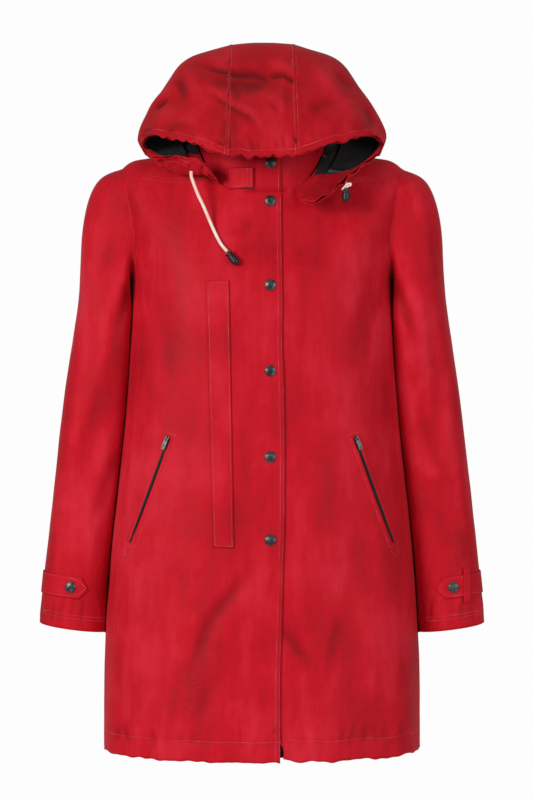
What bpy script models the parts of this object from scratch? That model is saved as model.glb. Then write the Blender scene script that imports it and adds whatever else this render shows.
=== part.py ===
"""A hooded parka in waxed cotton, filled out as if worn, with nothing inside it.

The frame: metres, +Z up, the coat's front towards -Y, its wearer's left arm
towards +X.  The origin is the centre of the neck base, where the shoulders
carry the coat.  Sizes below are in millimetres and MM turns them into metres.

Angles round the body run from 0 at the centre front to +90 at the wearer's
left side, -90 at the right side and 180 at the centre back.
"""
import math

import bpy
import numpy as np
from mathutils import Matrix, Vector

MM = 0.001

# ---- driving dimensions, in millimetres ------------------------------------
WALL = 1.6                # shell cloth with its facing or fusing
FLAP_WALL = 1.4           # doubled, pressed pieces: flap, tabs, loops
LINING_WALL = 1.0
SEAM_GAP = 0.3            # between two pieces at a seam
EDGE_SETBACK = 0.25       # each side of a seam in one surface draws back this far
ARMHOLE_SETBACK = 0.15    # and the fronts do at the armhole
LAY_GAP = 0.5             # between a panel and what lies on it
SQUARENESS = 2.3          # superellipse power of the body's sections
LIFT_POWER = 3.0          # how late a tilted section climbs towards the shoulder
UPWARD = 60.0             # tells the outside of the shoulders' cloth from its inside
HALVINGS = 26             # steps of a search by halving
PROBE = 10.0              # how far out a point is taken to find the way out of the cloth

# The body's sections, hem to neck.  A section is tilted where its front, side
# and back heights differ.
TORSO = (
    # front_z, side_z, back_z, half_width, front_depth, back_depth
    (-862, -862, -862, 228.0, 152, 148),   # hem
    (-740, -740, -740, 227.0, 149, 146),   # thigh
    (-600, -600, -600, 219.0, 143, 142),   # hip
    (-473, -473, -473, 206.0, 136, 136),   # below the waist
    (-362, -362, -362, 195.5, 129, 131),   # waist
    (-275, -275, -275, 190.5, 126, 129),   # below the chest
    (-190, -190, -190, 187.0, 123, 127),   # armpit
    (-168, -112, -142, 196.0, 117, 122),   # middle of the armhole
    (-146, -30, -86, 203.0, 110, 108),     # shoulder point, end of the armhole
    (-110, -10, -24, 150.0, 105, 86),      # middle of the shoulder
    (-74, 8, 14, 95.0, 100, 60),           # neck seam
)
ARMPIT, SHOULDER, NECK = 6.0, 8.0, 10.0    # levels: indices in TORSO
ARMHOLE_FRONT = 25.0      # degrees the armhole cuts in front of the side
ARMHOLE_BACK = 29.0       # and behind it
ARMHOLE_WIDEST = 7.2      # level of the widest cut
FORWARD_SEAM = (56.0, 42.0)   # angles of the forward shoulder seam, inner half and neck
BODY_ROWS = 22            # rows of cloth between hem and armpit
YOKE_ROWS = 5             # rows each side of the shoulder point
FRONT_COLUMNS = 10
BACK_COLUMNS = 18
WING_COLUMNS = 5          # of the back, where it wraps over the shoulder

# A fold is highest a little above its middle and keeps a share of that at its ends.
FOLD_PEAK = 0.35
FOLD_FADE = (0.2, 0.75)   # it starts and stops fading this far from its peak
FOLD_LOSS = 0.75          # and loses this share of its height
DEGREE_MM = 3.0           # a degree round the body counts as this much cloth
LEVEL_MM = 120.0          # and a level as this much
SLEEVE_DEGREE_MM = 1.0
SLEEVE_LEVEL_MM = 110.0
HOOD_COLUMN_MM = 32.0
HOOD_ROW_MM = 40.0

# Soft folds in the body: where each one starts and ends, in degrees and level,
# how wide it is and how far it stands out (+) or sinks in (-).
TORSO_FOLDS = (
    # angle_0, level_0, angle_1, level_1, width, height
    (-62, 0.0, -48, 3.6, 34, 5.0),
    (-30, 0.0, -36, 2.6, 28, -3.0),
    (58, 0.0, 46, 3.4, 34, 4.5),
    (33, 0.0, 30, 2.4, 26, -3.0),
    (-74, 5.9, -44, 5.0, 20, -3.0),
    (74, 5.9, 46, 5.1, 20, -3.0),
    (120, 0.0, 130, 4.2, 36, 5.0),
    (-122, 0.0, -132, 4.0, 36, 5.0),
    (152, 0.0, 156, 3.0, 30, -3.5),
    (-150, 0.0, -154, 3.2, 30, -3.5),
)

# Front edges: the wearer's right front laps over the left one.
LAP_TOP = 27.0            # x of the over edge at the neck
LAP_HEM = 22.0            # and at the hem
UNDERLAP = -10.0          # x of the under edge, hidden below it
LAP_DEPTH = 2.3           # the under front sinks in by this much near its edge
LAP_FADE = (30.0, 75.0)   # and comes back to the surface between these x

# The sleeve's sections below the cap, for the wearer's left arm.
SLEEVE = (
    # centre_x, centre_y, centre_z, half_width, half_depth, tilt
    (222.0, 10, -236, 44.5, 68, 14),       # biceps
    (234.0, 12, -362, 51.5, 60, 9),        # elbow
    (247.5, 8, -473, 51.0, 54, 7),         # forearm
    (261.5, 4, -590, 50.0, 49, 7),         # above the cuff
    (272.0, 0, -681, 48.5, 45, 7),         # cuff
)
SLEEVE_POWER = 2.15
SIDE_CLEARANCE = 2.7      # from the middle of the body's wall to the sleeve's
SIDE_SOFTNESS = 3.0       # how gently the sleeve turns off the body's side
UNDERARM_Z = -193.0       # below this the sleeve keeps off the body's side
CAP_ROWS = 6
SLEEVE_ROWS = 13
SLEEVE_COLUMNS_ROUND = 16
CAP_PULL = (0.25, 1.0)    # how far the cap keeps its direction, under the arm and over it
CAP_TURN = (0.35, 0.93)   # how much it heads outward from the armhole, under and over the arm
CAP_DROP = (-0.65, -0.07)     # and how much it heads down
CAP_OFF_SKIN = 0.25       # and off the body's cloth, under the arm
LEAVE_AHEAD = 0.25        # least share of that direction which crosses the armhole
ARMHOLE_CENTRE = np.array((192.0, 2.0, -95.0))
CAP_FRONT_SHARE = 110.0   # degrees round the sleeve that the armhole's front takes
CAP_BACK_SHARE = 245.0    # where the armhole's back starts
OVERARM_SEAM = 171.0      # degrees round the sleeve, 0 at the body, 90 in front
SLEEVE_FOLDS = (              # the same columns as the body's, round and along the sleeve
    (40, -0.9, 128, 0.9, 22, -5.0),
    (62, -0.6, 112, 1.9, 20, 4.5),
    (96, 0.4, 84, 2.6, 20, -4.0),
    (140, 0.8, 128, 3.1, 20, 4.0),
    (108, 2.4, 104, 3.9, 18, -3.0),
    (300, -0.8, 232, 0.9, 24, -5.0),
    (262, 0.2, 276, 2.6, 20, 4.0),
    (232, 1.2, 226, 3.6, 20, -3.5),
)

# The hood's sections from the back of the neck to the face opening, for the
# wearer's left side.  Each row starts at an angle round the neck seam, runs out
# over the shoulder, up the side and in to the seam of the centre strip.
HOOD = (
    # neck_angle, low, side, corner, top, seam
    (148, 155),
    (118, (106, 62, 30), (112, 78, 58), (100, 88, 80), (74, 94, 92), (44, 96, 94)),
    (100, (130, 36, 24), (144, 48, 60), (129, 52, 99), (92, 52, 127), (44, 50, 138)),
    (91, (138, 0, 16), (159, 2, 52), (144, -2, 93), (109, -6, 130), (45, -12, 150)),
    (73, (138, -32, -2), (170, -30, 22), (158, -38, 62), (118, -58, 104), (46, -66, 124)),
    (52, (122, -84, -42), (172, -54, -2), (166, -62, 26), (116, -104, 44), (47, -120, 54)),
)
HOOD_EDGE_COLUMNS = (0.0, 0.4, 0.7, 1.05, 1.55, 2.1, 2.6, 3.0, 3.4, 4.2, 5.0)
HOOD_EDGE_LEFT = (26, (52, -127, -86), (66, -133, -92), (86, -132, -85), (112, -123, -60),
                  (148, -99, -30), (167, -78, -14), (173, -70, 2), (158, -90, 10),
                  (110, -126, -3), (49, -148, -25))
HOOD_EDGE_RIGHT = (35, (68, -117, -50), (76, -120, -38), (90, -120, -29), (114, -112, -25),
                   (140, -98, -24), (163, -82, -17), (173, -70, 2), (158, -90, 10),
                   (110, -126, -3), (49, -148, -25))
HOOD_FOOT = 2.5           # the hood stands this far above the neck edge's middle
CENTRE_CROWN = 3.0        # the centre strip's middle stands above its seams
BRIM_DROP = 3.0           # and hangs lower at the brim
HOOD_ROWS = 12
HOOD_COLUMNS_SIDE = 12
HOOD_COLUMNS_CENTRE = 5
HOOD_FOLDS = (            # along the hood in side columns and rows, as in HOOD
    (3.2, 3.4, 4.9, 4.7, 16, -6.0),
    (4.4, 5.2, 2.9, 3.9, 16, -4.5),
    (2.0, 2.0, 3.6, 3.4, 18, -4.0),
)
FACING_ROW = 10           # the face opening's facing starts at this row of 12
LINING_STEP = 2.3         # from the middle of the shell to that of the lining
LINING_EDGE = 0.6         # the lining and the facing each draw back this far where they meet

HOOD_HEART = np.array((0.0, -10.0, 50.0))
CROWN_DENT = 9.0          # the crown sags behind the brim

STAND_END = 84.0          # degrees round the neck, at the shoulders
STAND_HEIGHT = 58.0       # the collar stand inside the hood's front
STAND_STEP = 2.2          # it is sewn this far inside the neck edge at the sides
STAND_FORWARD = (18.0, 34.0)  # and above it in front of these degrees
STAND_FOOT = 1.2          # its edge is this far above the middle of the neck edge
STAND_FALL = 0.25         # share of its height that it loses towards the shoulders
STAND_COLUMNS = 12
STAND_ROWS = 4

# The chest pocket's flap: top and bottom, and its left and right edges there.
FLAP_Z = (-196.0, -567.0)
FLAP_LEFT_X = (-77.0, -66.5)
FLAP_RIGHT_X = (-45.5, -38.5)
FLAP_ROWS = 14

# The hand pockets' slanted zips: top and bottom.
ZIP_X = (129.0, 183.0)
ZIP_Z = (-414.0, -562.0)
ZIP_WIDTH = 6.5
ZIP_WALL = 1.0
ZIP_ROWS = 9
SLIDER = (10.0, 6.4, 2.4)     # along the zip, across it and out of the cloth
BAIL = 1.1                    # the slider's bail is this thick
BAIL_TOP = 0.99               # its crosspiece is a little thinner
BAIL_GAP = 0.35               # and this clear of the pull's crossbar
PULL_BAR = 1.1                # thickness of the pull and its crossbar
PULL = (17.0, 5.6)            # the pull's length and width
PULL_SLOT = (3.4, 2.6)        # the slot that the bail passes through
SLIDER_EDGE = 0.4             # the slider's rounded edge

# Press snaps, domes on the lapped front: x, heights and profile.
SNAP_X = 12.0
SNAP_Z = (-83.5, -202.5, -322.0, -441.5, -556.0)
STAND_SNAP_HEIGHT = 44.0      # the top one's, up the stand
SNAP_PROFILE = ((0.0, 2.6), (3.6, 2.4), (6.3, 1.7), (7.7, 0.8), (8.0, 0.2), (7.6, 0.0), (0.0, 0.0))

# The throat tab: its sewn and free ends, and its top and bottom.
THROAT_X = (-47.0, -12.0)
THROAT_Z = (-36.0, -66.0)
THROAT_LIFT = 3.0             # its free end stands off the stand

# The cuffs' tabs, and the left one's loop.
TAB_POSITION = 3.43           # place along the sleeve, as in its sections
TAB_HALF = 0.17               # half the tab's width, in the same measure
TAB_ANGLES = (206.0, 73.0)    # from its sewn end to its tip, round the sleeve
TAB_POINT = 11.0              # degrees the point takes
TAB_TIP = 0.12                # share of the width left at the very tip
TAB_OUT = 2.4                 # from the middle of the sleeve's cloth to the tab's
TAB_COLUMNS = 11
TAB_SNAP_ANGLE = 97.0
LOOP_ANGLE = 120.0            # where the loop crosses the tab, round the sleeve
LOOP_SLANT = -3.5             # degrees that its ends lean
LOOP_WIDTH = 12.0             # degrees
LOOP_HALF = 0.29              # half its length along the sleeve, as TAB_HALF
LOOP_RISE = (0.02, 0.28)      # shares of that over which it climbs on to the tab
LOOP_WALL = 1.2
LOOP_ROWS = 10

# The drawcord's two free ends.  The right one falls from the hood's edge on to
# the chest: free points, then (x, z, out) off the cloth, and on to its ring and toggle.
CORD_RADIUS = 2.3
CORD_POINTS = 20
CORD_RIGHT_EXIT = (11, 2)     # row and column of the hood's grid that it leaves
CORD_RIGHT_FREE = ((-98.5, -109, -50), (-95.5, -113.5, -59), (-89.5, -114.5, -75),
                   (-81, -112.5, -93))
CORD_RIGHT_CHEST = ((-67, -125, 4.6), (-57.5, -144, 4.4))
TOGGLE_RIGHT = ((-46, -160, 5.55), (-43, -163, 5.55), (-29, -180, 5.55))  # ring, top, end
RING = (4.0, 1.5)             # the metal ring at the toggle's neck
TOGGLE_PROFILE = ((0.0, 0.0), (3.0, -0.3), (3.5, -2.5), (5.2, -6.0), (5.9, -10.0), (5.4, -15.0),
                  (3.6, -18.5), (0.0, -20.0))
CORD_LEFT_RADIUS = 1.3
CORD_LEFT_EXIT = (11, 3)      # its column is counted from the left front edge
CORD_LEFT = ((115.5, -109, -67), (111.5, -117, -69), (114, -119.8, -67), (118.5, -119, -62.3),
             (123.2, -118, -60.9), (123.8, -118.5, -63.4), (119.5, -119, -65), (118.4, -119, -67))
TOGGLE_LEFT_AXIS = (-0.1, 0.0, -1.0)
TOGGLE_LEFT_GAP = 0.6
CORD_RIGHT_GAP = 1.45         # from the middle of the hood's cloth to the cord's end
CORD_LEFT_GAP = 1.95

# ---- small helpers ---------------------------------------------------------


def blend_rows(rows, position):
    """A smooth curve through table rows, read at a fractional row number."""
    rows = np.asarray(rows, float)
    last = len(rows) - 1
    position = min(max(position, 0.0), float(last))
    index = min(int(position), last - 1)
    t = position - index
    before, here = rows[max(index - 1, 0)], rows[index]
    after, beyond = rows[index + 1], rows[min(index + 2, last)]
    slope_0, slope_1 = (after - before) / 2, (beyond - here) / 2
    if index == 0:
        slope_0 = after - here
    if index == last - 1:
        slope_1 = after - here
    return ((2 * t**3 - 3 * t**2 + 1) * here + (t**3 - 2 * t**2 + t) * slope_0
            + (3 * t**2 - 2 * t**3) * after + (t**3 - t**2) * slope_1)


def lerp(a, b, share):
    return a + (b - a) * share


def unit(vector):
    return vector / max(np.linalg.norm(vector), 1e-9)


def signed_power(value, power):
    return math.copysign(abs(value) ** power, value)


def ease(value, low, high):
    """0 below low, 1 above high and a smooth step between them."""
    t = min(max((value - low) / (high - low), 0.0), 1.0)
    return t * t * (3 - 2 * t)


def fold_height(folds, across, along, across_size, along_size):
    """The height that the folds of a table add at a place on the cloth."""
    total = 0.0
    for a0, l0, a1, l1, width, height in folds:
        start = np.array((a0 * across_size, l0 * along_size))
        run = np.array((a1 * across_size, l1 * along_size)) - start
        place = np.array((across * across_size, along * along_size)) - start
        share = float(place @ run) / float(run @ run)
        nearest = min(max(share, 0.0), 1.0)
        distance = np.linalg.norm(place - nearest * run)
        taper = 1 - FOLD_LOSS * ease(abs(share - FOLD_PEAK), *FOLD_FADE)
        total += height * taper * math.exp(-(distance / width) ** 2)
    return total


# ---- the body's surface ----------------------------------------------------


def torso_ring(level, angle):
    front_z, side_z, back_z, width, front, back = blend_rows(TORSO, level)
    turn = math.radians(angle)
    sine, cosine = math.sin(turn), math.cos(turn)
    power = 2 / SQUARENESS
    depth, end_z = (front, front_z) if cosine >= 0 else (back, back_z)
    lift = abs(sine) ** LIFT_POWER
    return np.array((width * signed_power(sine, power),
                     -depth * signed_power(cosine, power),
                     end_z + (side_z - end_z) * lift))


def surface_normal(surface, a, b, step_a, step_b, outward):
    """The unit normal of surface(a, b), turned the way that outward points."""
    along_a = surface(a + step_a, b) - surface(a - step_a, b)
    along_b = surface(a, b + step_b) - surface(a, b - step_b)
    normal = unit(np.cross(along_a, along_b))
    return normal if normal @ outward >= 0 else -normal


def torso_normal(level, angle):
    level = min(max(level, 0.02), NECK - 0.02)
    point = torso_ring(level, angle)
    outward = np.array((point[0], point[1], UPWARD if level > SHOULDER - 1 else 0.0))
    return surface_normal(torso_ring, level, angle, 0.02, 0.6, outward)


def torso_at(level, angle, out=0.0):
    """A point of the body's cloth, out by so much from its middle."""
    height = fold_height(TORSO_FOLDS, angle, level, DEGREE_MM, LEVEL_MM)
    return torso_ring(level, angle) + (height + out) * torso_normal(level, angle)


def angle_at_x(level, x):
    """The front angle at which a section reaches x."""
    width = blend_rows(TORSO, level)[3]
    share = min(abs(x) / width, 1.0) ** (SQUARENESS / 2)
    return math.copysign(math.degrees(math.asin(share)), x)


def torso_at_xz(x, z, out=0.0):
    """A point of the body's front at x and z."""
    low, high = 0.0, NECK
    for _ in range(HALVINGS):
        middle = (low + high) / 2
        if torso_ring(middle, angle_at_x(middle, x))[2] < z:
            low = middle
        else:
            high = middle
    return torso_at(low, angle_at_x(low, x), out)


def armhole_angle(level, cut):
    """How far the armhole has cut from the side at a level."""
    reach = (ARMHOLE_WIDEST - min(max(level, ARMPIT), SHOULDER)) / (ARMHOLE_WIDEST - ARMPIT)
    return cut * math.sqrt(max(1 - reach**2, 0.0))


def seam_angle(level):
    """The forward shoulder seam, from the armhole in to the neck."""
    start = 90 - armhole_angle(SHOULDER, ARMHOLE_FRONT)
    places = ((start,), (FORWARD_SEAM[0],), (FORWARD_SEAM[1],))
    return float(blend_rows(places, level - SHOULDER)[0])


def lap_x(level, top, hem):
    return hem + (top - hem) * level / NECK


def armhole_level(share):
    """The level at a share of the way up the armhole, closer near the armpit."""
    top = math.acos((ARMHOLE_WIDEST - SHOULDER) / (ARMHOLE_WIDEST - ARMPIT))
    return ARMHOLE_WIDEST - (ARMHOLE_WIDEST - ARMPIT) * math.cos(top * share)


def body_levels():
    lower = [ARMPIT * i / BODY_ROWS for i in range(BODY_ROWS)]
    middle = [armhole_level(i / YOKE_ROWS) for i in range(YOKE_ROWS)]
    upper = [SHOULDER + (NECK - SHOULDER) * i / YOKE_ROWS for i in range(YOKE_ROWS + 1)]
    return lower + middle + upper


def degrees_for(distance, level, angle):
    """The turn that moves a point so many millimetres round its section."""
    step = np.linalg.norm(torso_ring(level, angle + 0.5) - torso_ring(level, angle - 0.5))
    return distance / step


def draw_back(grid, distance=EDGE_SETBACK):
    """The same cloth with its first and last columns moved in from the seams."""
    result = []
    for row in grid:
        first = row[0] + unit(row[1] - row[0]) * distance
        last = row[-1] + unit(row[-2] - row[-1]) * distance
        result.append([first] + list(row[1:-1]) + [last])
    return result


def moved_out(grid, distance):
    """The same cloth moved along its own normals, which the grid's order turns."""
    points = np.array(grid, float)
    along = np.gradient(points, axis=0)
    across = np.gradient(points, axis=1)
    normals = np.cross(along, across)
    normals /= np.maximum(np.linalg.norm(normals, axis=2, keepdims=True), 1e-9)
    return points + normals * distance


# ---- meshes ----------------------------------------------------------------
for old in list(bpy.data.objects):
    bpy.data.objects.remove(old, do_unlink=True)
parka = bpy.data.collections.new("parka")
bpy.context.scene.collection.children.link(parka)
cutters = bpy.data.collections.new("cutters")
bpy.context.scene.collection.children.link(cutters)


def paint(name, colour, roughness, metallic=0.0):
    material = bpy.data.materials.new(name)
    material.use_nodes = True
    shader = material.node_tree.nodes["Principled BSDF"]
    shader.inputs["Base Color"].default_value = (*colour, 1.0)
    shader.inputs["Roughness"].default_value = roughness
    shader.inputs["Metallic"].default_value = metallic
    return material


RED = paint("waxed_cotton", (0.54, 0.012, 0.021), 0.7)
BLACK = paint("lining_twill", (0.012, 0.013, 0.015), 0.6)
GUNMETAL = paint("gunmetal_snap", (0.10, 0.10, 0.10), 0.35, 0.9)
ZIP = paint("zip_tape", (0.015, 0.015, 0.017), 0.6)
CORD = paint("cotton_cord", (0.78, 0.55, 0.43), 0.8)
HORN = paint("moulded_plastic", (0.012, 0.013, 0.014), 0.3)
BRASS = paint("old_brass", (0.20, 0.10, 0.05), 0.4, 0.8)


def add_object(name, mesh, material):
    piece = bpy.data.objects.new(name, mesh)
    mesh.materials.append(material)
    parka.objects.link(piece)
    return piece


def add_wall(name, grid, thickness, material):
    """A cloth wall round the middle surface given by rows of points in mm.

    A row may hold None where the piece has no cloth.
    """
    points, numbers, faces = [], {}, []
    for r, row in enumerate(grid):
        for c, point in enumerate(row):
            if point is not None:
                numbers[r, c] = len(points)
                points.append(tuple(float(v) * MM for v in point))
    for r in range(len(grid) - 1):
        for c in range(len(grid[r]) - 1):
            corners = [(r, c), (r, c + 1), (r + 1, c + 1), (r + 1, c)]
            if all(corner in numbers for corner in corners):
                faces.append([numbers[corner] for corner in corners])
    mesh = bpy.data.meshes.new(name)
    mesh.from_pydata(points, [], faces)
    mesh.shade_smooth()
    piece = add_object(name, mesh, material)
    wall = piece.modifiers.new("wall", "SOLIDIFY")
    wall.thickness = thickness * MM
    wall.offset = 0.0
    return piece


def add_turned(name, profile, material, centre, axis, steps=14):
    """A turned piece: profile rows are (radius, height) from the top down."""
    mesh = bpy.data.meshes.new(name)
    points = [(radius * MM, 0.0, height * MM) for radius, height in profile]
    mesh.from_pydata(points, [(i, i + 1) for i in range(len(points) - 1)], [])
    piece = add_object(name, mesh, material)
    turn = piece.modifiers.new("turn", "SCREW")
    turn.steps = turn.render_steps = steps
    turn.use_merge_vertices = True
    turn.merge_threshold = 0.00005
    piece.location = [float(v) * MM for v in centre]
    piece.rotation_mode = "QUATERNION"
    piece.rotation_quaternion = Vector([float(v) for v in axis]).to_track_quat("Z", "Y")
    return piece


def add_cord(name, points, radius, material, sides=2):
    """A round cord through points in mm."""
    curve = bpy.data.curves.new(name, "CURVE")
    curve.dimensions = "3D"
    curve.bevel_depth = radius * MM
    curve.bevel_resolution = sides
    curve.use_fill_caps = True
    spline = curve.splines.new("POLY")
    spline.points.add(len(points) - 1)
    for spot, point in zip(spline.points, points):
        spot.co = (*[float(v) * MM for v in point], 1.0)
    piece = bpy.data.objects.new(name, curve)
    curve.materials.append(material)
    parka.objects.link(piece)
    return piece


# ---- fronts and back -------------------------------------------------------


def lap_sink(x):
    return -LAP_DEPTH * (1 - ease(x, *LAP_FADE))


def front_panel(name, side):
    """One front, from its centre edge round to the side, armhole and shoulder."""
    grid = []
    for level in body_levels():
        if side < 0:
            edge_x = lap_x(level, LAP_TOP, LAP_HEM)
        else:
            edge_x = UNDERLAP
        start = angle_at_x(level, edge_x)
        if level < SHOULDER:
            end = 90 - armhole_angle(level, ARMHOLE_FRONT)
        else:
            end = seam_angle(level)
        if level > ARMPIT:
            setback = ARMHOLE_SETBACK
        else:
            setback = EDGE_SETBACK
        end = side * (end - degrees_for(setback, level, end))
        row = []
        for c in range(FRONT_COLUMNS + 1):
            angle = start + (end - start) * c / FRONT_COLUMNS
            x = torso_ring(level, angle)[0]
            out = lap_sink(x) if side > 0 else 0.0
            row.append(torso_at(level, angle, out))
        grid.append(row)
    return add_wall(name, grid, WALL, RED)


def back_panel(name):
    """The whole back, which wraps over the shoulders to the forward seams."""
    grid = []
    for level in body_levels():
        cut = armhole_angle(level, ARMHOLE_BACK) if level > ARMPIT else 0.0
        side = 90 + cut + degrees_for(EDGE_SETBACK, level, 90 + cut)
        wing = seam_angle(max(level, SHOULDER))
        wing += degrees_for(EDGE_SETBACK, level, wing)
        row = []
        for c in range(WING_COLUMNS):
            angle = wing + (side - wing) * c / WING_COLUMNS
            row.append(torso_at(level, angle) if level >= SHOULDER else None)
        for c in range(BACK_COLUMNS + 1):
            angle = side + (360 - 2 * side) * c / BACK_COLUMNS
            turned = angle if angle <= 180 else angle - 360
            row.append(torso_at(level, turned))
        for c in range(WING_COLUMNS):
            angle = side + (wing - side) * (c + 1) / WING_COLUMNS
            row.append(torso_at(level, -angle) if level >= SHOULDER else None)
        grid.append(row)
    return add_wall(name, grid, WALL, RED)


front_panel("front_right", -1)
front_panel("front_left", 1)
back_panel("back")

# ---- sleeves ---------------------------------------------------------------


def armhole_at(round_angle):
    """Level and angle on the body for a place round the armhole."""
    if round_angle <= CAP_FRONT_SHARE:
        level = armhole_level(round_angle / CAP_FRONT_SHARE)
        return level, 90 - armhole_angle(level, ARMHOLE_FRONT)
    if round_angle >= CAP_BACK_SHARE:
        level = armhole_level((360 - round_angle) / (360 - CAP_BACK_SHARE))
        return level, 90 + armhole_angle(level, ARMHOLE_BACK)
    share = (round_angle - CAP_FRONT_SHARE) / (CAP_BACK_SHARE - CAP_FRONT_SHARE)
    front = 90 - armhole_angle(SHOULDER, ARMHOLE_FRONT)
    back = 90 + armhole_angle(SHOULDER, ARMHOLE_BACK)
    return SHOULDER, front + (back - front) * share


def body_side_x(y, z):
    """How far out the body's side reaches at a depth and height, below the armpit."""
    low, high = 0.0, ARMPIT
    for _ in range(HALVINGS):
        middle = (low + high) / 2
        if blend_rows(TORSO, middle)[0] < z:
            low = middle
        else:
            high = middle
    width, front, back = blend_rows(TORSO, low)[3:]
    share = min(abs(y) / (front if y < 0 else back), 1.0)
    x = width * (1 - share**SQUARENESS) ** (1 / SQUARENESS)
    turn = math.degrees(math.acos(share ** (SQUARENESS / 2)))
    angle = turn if y < 0 else 180 - turn
    return x + max(fold_height(TORSO_FOLDS, angle, low, DEGREE_MM, LEVEL_MM), 0.0)


def off_the_side(point):
    """The sleeve lies against the body's side and takes its shape there."""
    over = body_side_x(point[1], point[2]) + SIDE_CLEARANCE - point[0]
    if over >= SIDE_SOFTNESS:
        point[0] += over
    elif over > -SIDE_SOFTNESS:
        point[0] += (over + SIDE_SOFTNESS) ** 2 / (4 * SIDE_SOFTNESS)
    return point


def sleeve_ring(position, round_angle):
    x, y, z, width, depth, tilt = blend_rows(SLEEVE, position)
    turn = math.radians(round_angle)
    power = 2 / SLEEVE_POWER
    across = -width * signed_power(math.cos(turn), power)
    point = np.array((x + across, y - depth * signed_power(math.sin(turn), power),
                      z + across * math.tan(math.radians(tilt))))
    return off_the_side(point)


def armhole_point(round_angle):
    return torso_at(*armhole_at(round_angle % 360.0))


def leaving(round_angle):
    """Where the sleeve starts at the armhole, and its direction there."""
    level, angle = armhole_at(round_angle)
    normal = torso_normal(level, angle)
    edge = unit(armhole_point(round_angle + 1.0) - armhole_point(round_angle - 1.0))
    beyond = np.cross(normal, edge)
    beyond = beyond if beyond @ (ARMHOLE_CENTRE - armhole_point(round_angle)) > 0 else -beyond
    upper = (1 - math.cos(math.radians(round_angle))) / 2
    leave = np.array((lerp(*CAP_TURN, upper), 0.0, lerp(*CAP_DROP, upper)))
    leave = leave + CAP_OFF_SKIN * normal * (1 - upper)
    leave = leave - (leave @ edge) * edge
    inward = leave @ beyond
    if inward < LEAVE_AHEAD:
        leave = leave + (LEAVE_AHEAD - inward) * beyond
    leave = unit(leave)
    ahead = max(float(leave @ beyond), 0.05)
    sideways = max(math.sqrt(max(1 - ahead**2, 0.0)), 0.05)
    past_edge = (SEAM_GAP + WALL / 2 * sideways) / ahead
    past_skin = (WALL / 2 * (1 + ahead) + SEAM_GAP) / sideways
    return armhole_point(round_angle) + leave * min(past_edge, past_skin), leave


def sleeve_plain(position, round_angle):
    """The left sleeve's surface: below 0 the cap, from 0 to 4 the sleeve."""
    if position >= 0:
        return sleeve_ring(position, round_angle)
    start, leave = leaving(round_angle % 360.0)
    end = sleeve_ring(0.0, round_angle)
    arrive = unit(sleeve_ring(0.05, round_angle) - end)
    upper = (1 - math.cos(math.radians(round_angle))) / 2
    pull = lerp(*CAP_PULL, upper) * np.linalg.norm(end - start)
    t = position + 1
    point = ((2 * t**3 - 3 * t**2 + 1) * start + (t**3 - 2 * t**2 + t) * pull * leave
             + (3 * t**2 - 2 * t**3) * end + (t**3 - t**2) * pull * arrive)
    return off_the_side(point) if point[2] < UNDERARM_Z else point


def sleeve_at(position, round_angle, out=0.0):
    height = fold_height(SLEEVE_FOLDS, round_angle, position, SLEEVE_DEGREE_MM, SLEEVE_LEVEL_MM)
    fade = ease(position, -1.0, -0.6)
    centre = blend_rows(SLEEVE, max(position, 0.0))[:3]
    place = min(max(position, -0.97), 3.97)
    point = sleeve_plain(position, round_angle)
    outward = sleeve_plain(place, round_angle) - centre
    normal = surface_normal(sleeve_plain, place, round_angle, 0.02, 2.0, outward)
    if round_angle < 50 or round_angle > 310:
        height = min(height, 0.0)
    return point + (height * fade + out) * normal


def sleeve_positions():
    cap = [-1 + i / CAP_ROWS for i in range(CAP_ROWS)]
    return cap + [4.0 * i / SLEEVE_ROWS for i in range(SLEEVE_ROWS + 1)]


def sleeve_grid(first, last):
    """The left sleeve's middle surface between two places round the arm."""
    count = SLEEVE_COLUMNS_ROUND // 2
    return [[sleeve_at(position, (first + (last - first) * c / count) % 360.0)
             for c in range(count + 1)] for position in sleeve_positions()]


def mirrored(grid, side):
    return [[point * np.array((side, 1, 1)) for point in row] for row in grid]


sleeve_halves = {"front": draw_back(sleeve_grid(0, OVERARM_SEAM)),
                 "back": draw_back(sleeve_grid(OVERARM_SEAM, 360))}
for side, hand in ((-1, "right"), (1, "left")):
    for half, grid in sleeve_halves.items():
        add_wall(f"sleeve_{hand}_{half}", mirrored(grid, side), WALL, RED)

# ---- hood ------------------------------------------------------------------


def hood_side(side, row, column, out=0.0):
    """A point of the hood's side: row 0 at the back of the neck to 6 at the face
    opening, column 0 at the neck seam to 5 at the centre strip's seam."""
    height = fold_height(HOOD_FOLDS, column, row, HOOD_COLUMN_MM, HOOD_ROW_MM) + out
    point = hood_plain(side, row, column)
    if abs(height) > 1e-6:
        point = point + height * hood_normal(side, row, column)
    return point


def hood_section(section, column):
    """A point of one section, at a column from 0 at the neck to 5."""
    if len(section) == 2:       # the back end, which runs along the neck seam
        return torso_at(NECK, section[0] + (section[1] - section[0]) * column / 5.0, HOOD_FOOT)
    points = [torso_at(NECK, section[0], HOOD_FOOT)] + [np.array(p, float) for p in section[1:]]
    if len(section) == len(HOOD_EDGE_COLUMNS):
        return blend_rows(points, np.interp(column, HOOD_EDGE_COLUMNS, range(len(points))))
    return blend_rows(points, column)


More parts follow.
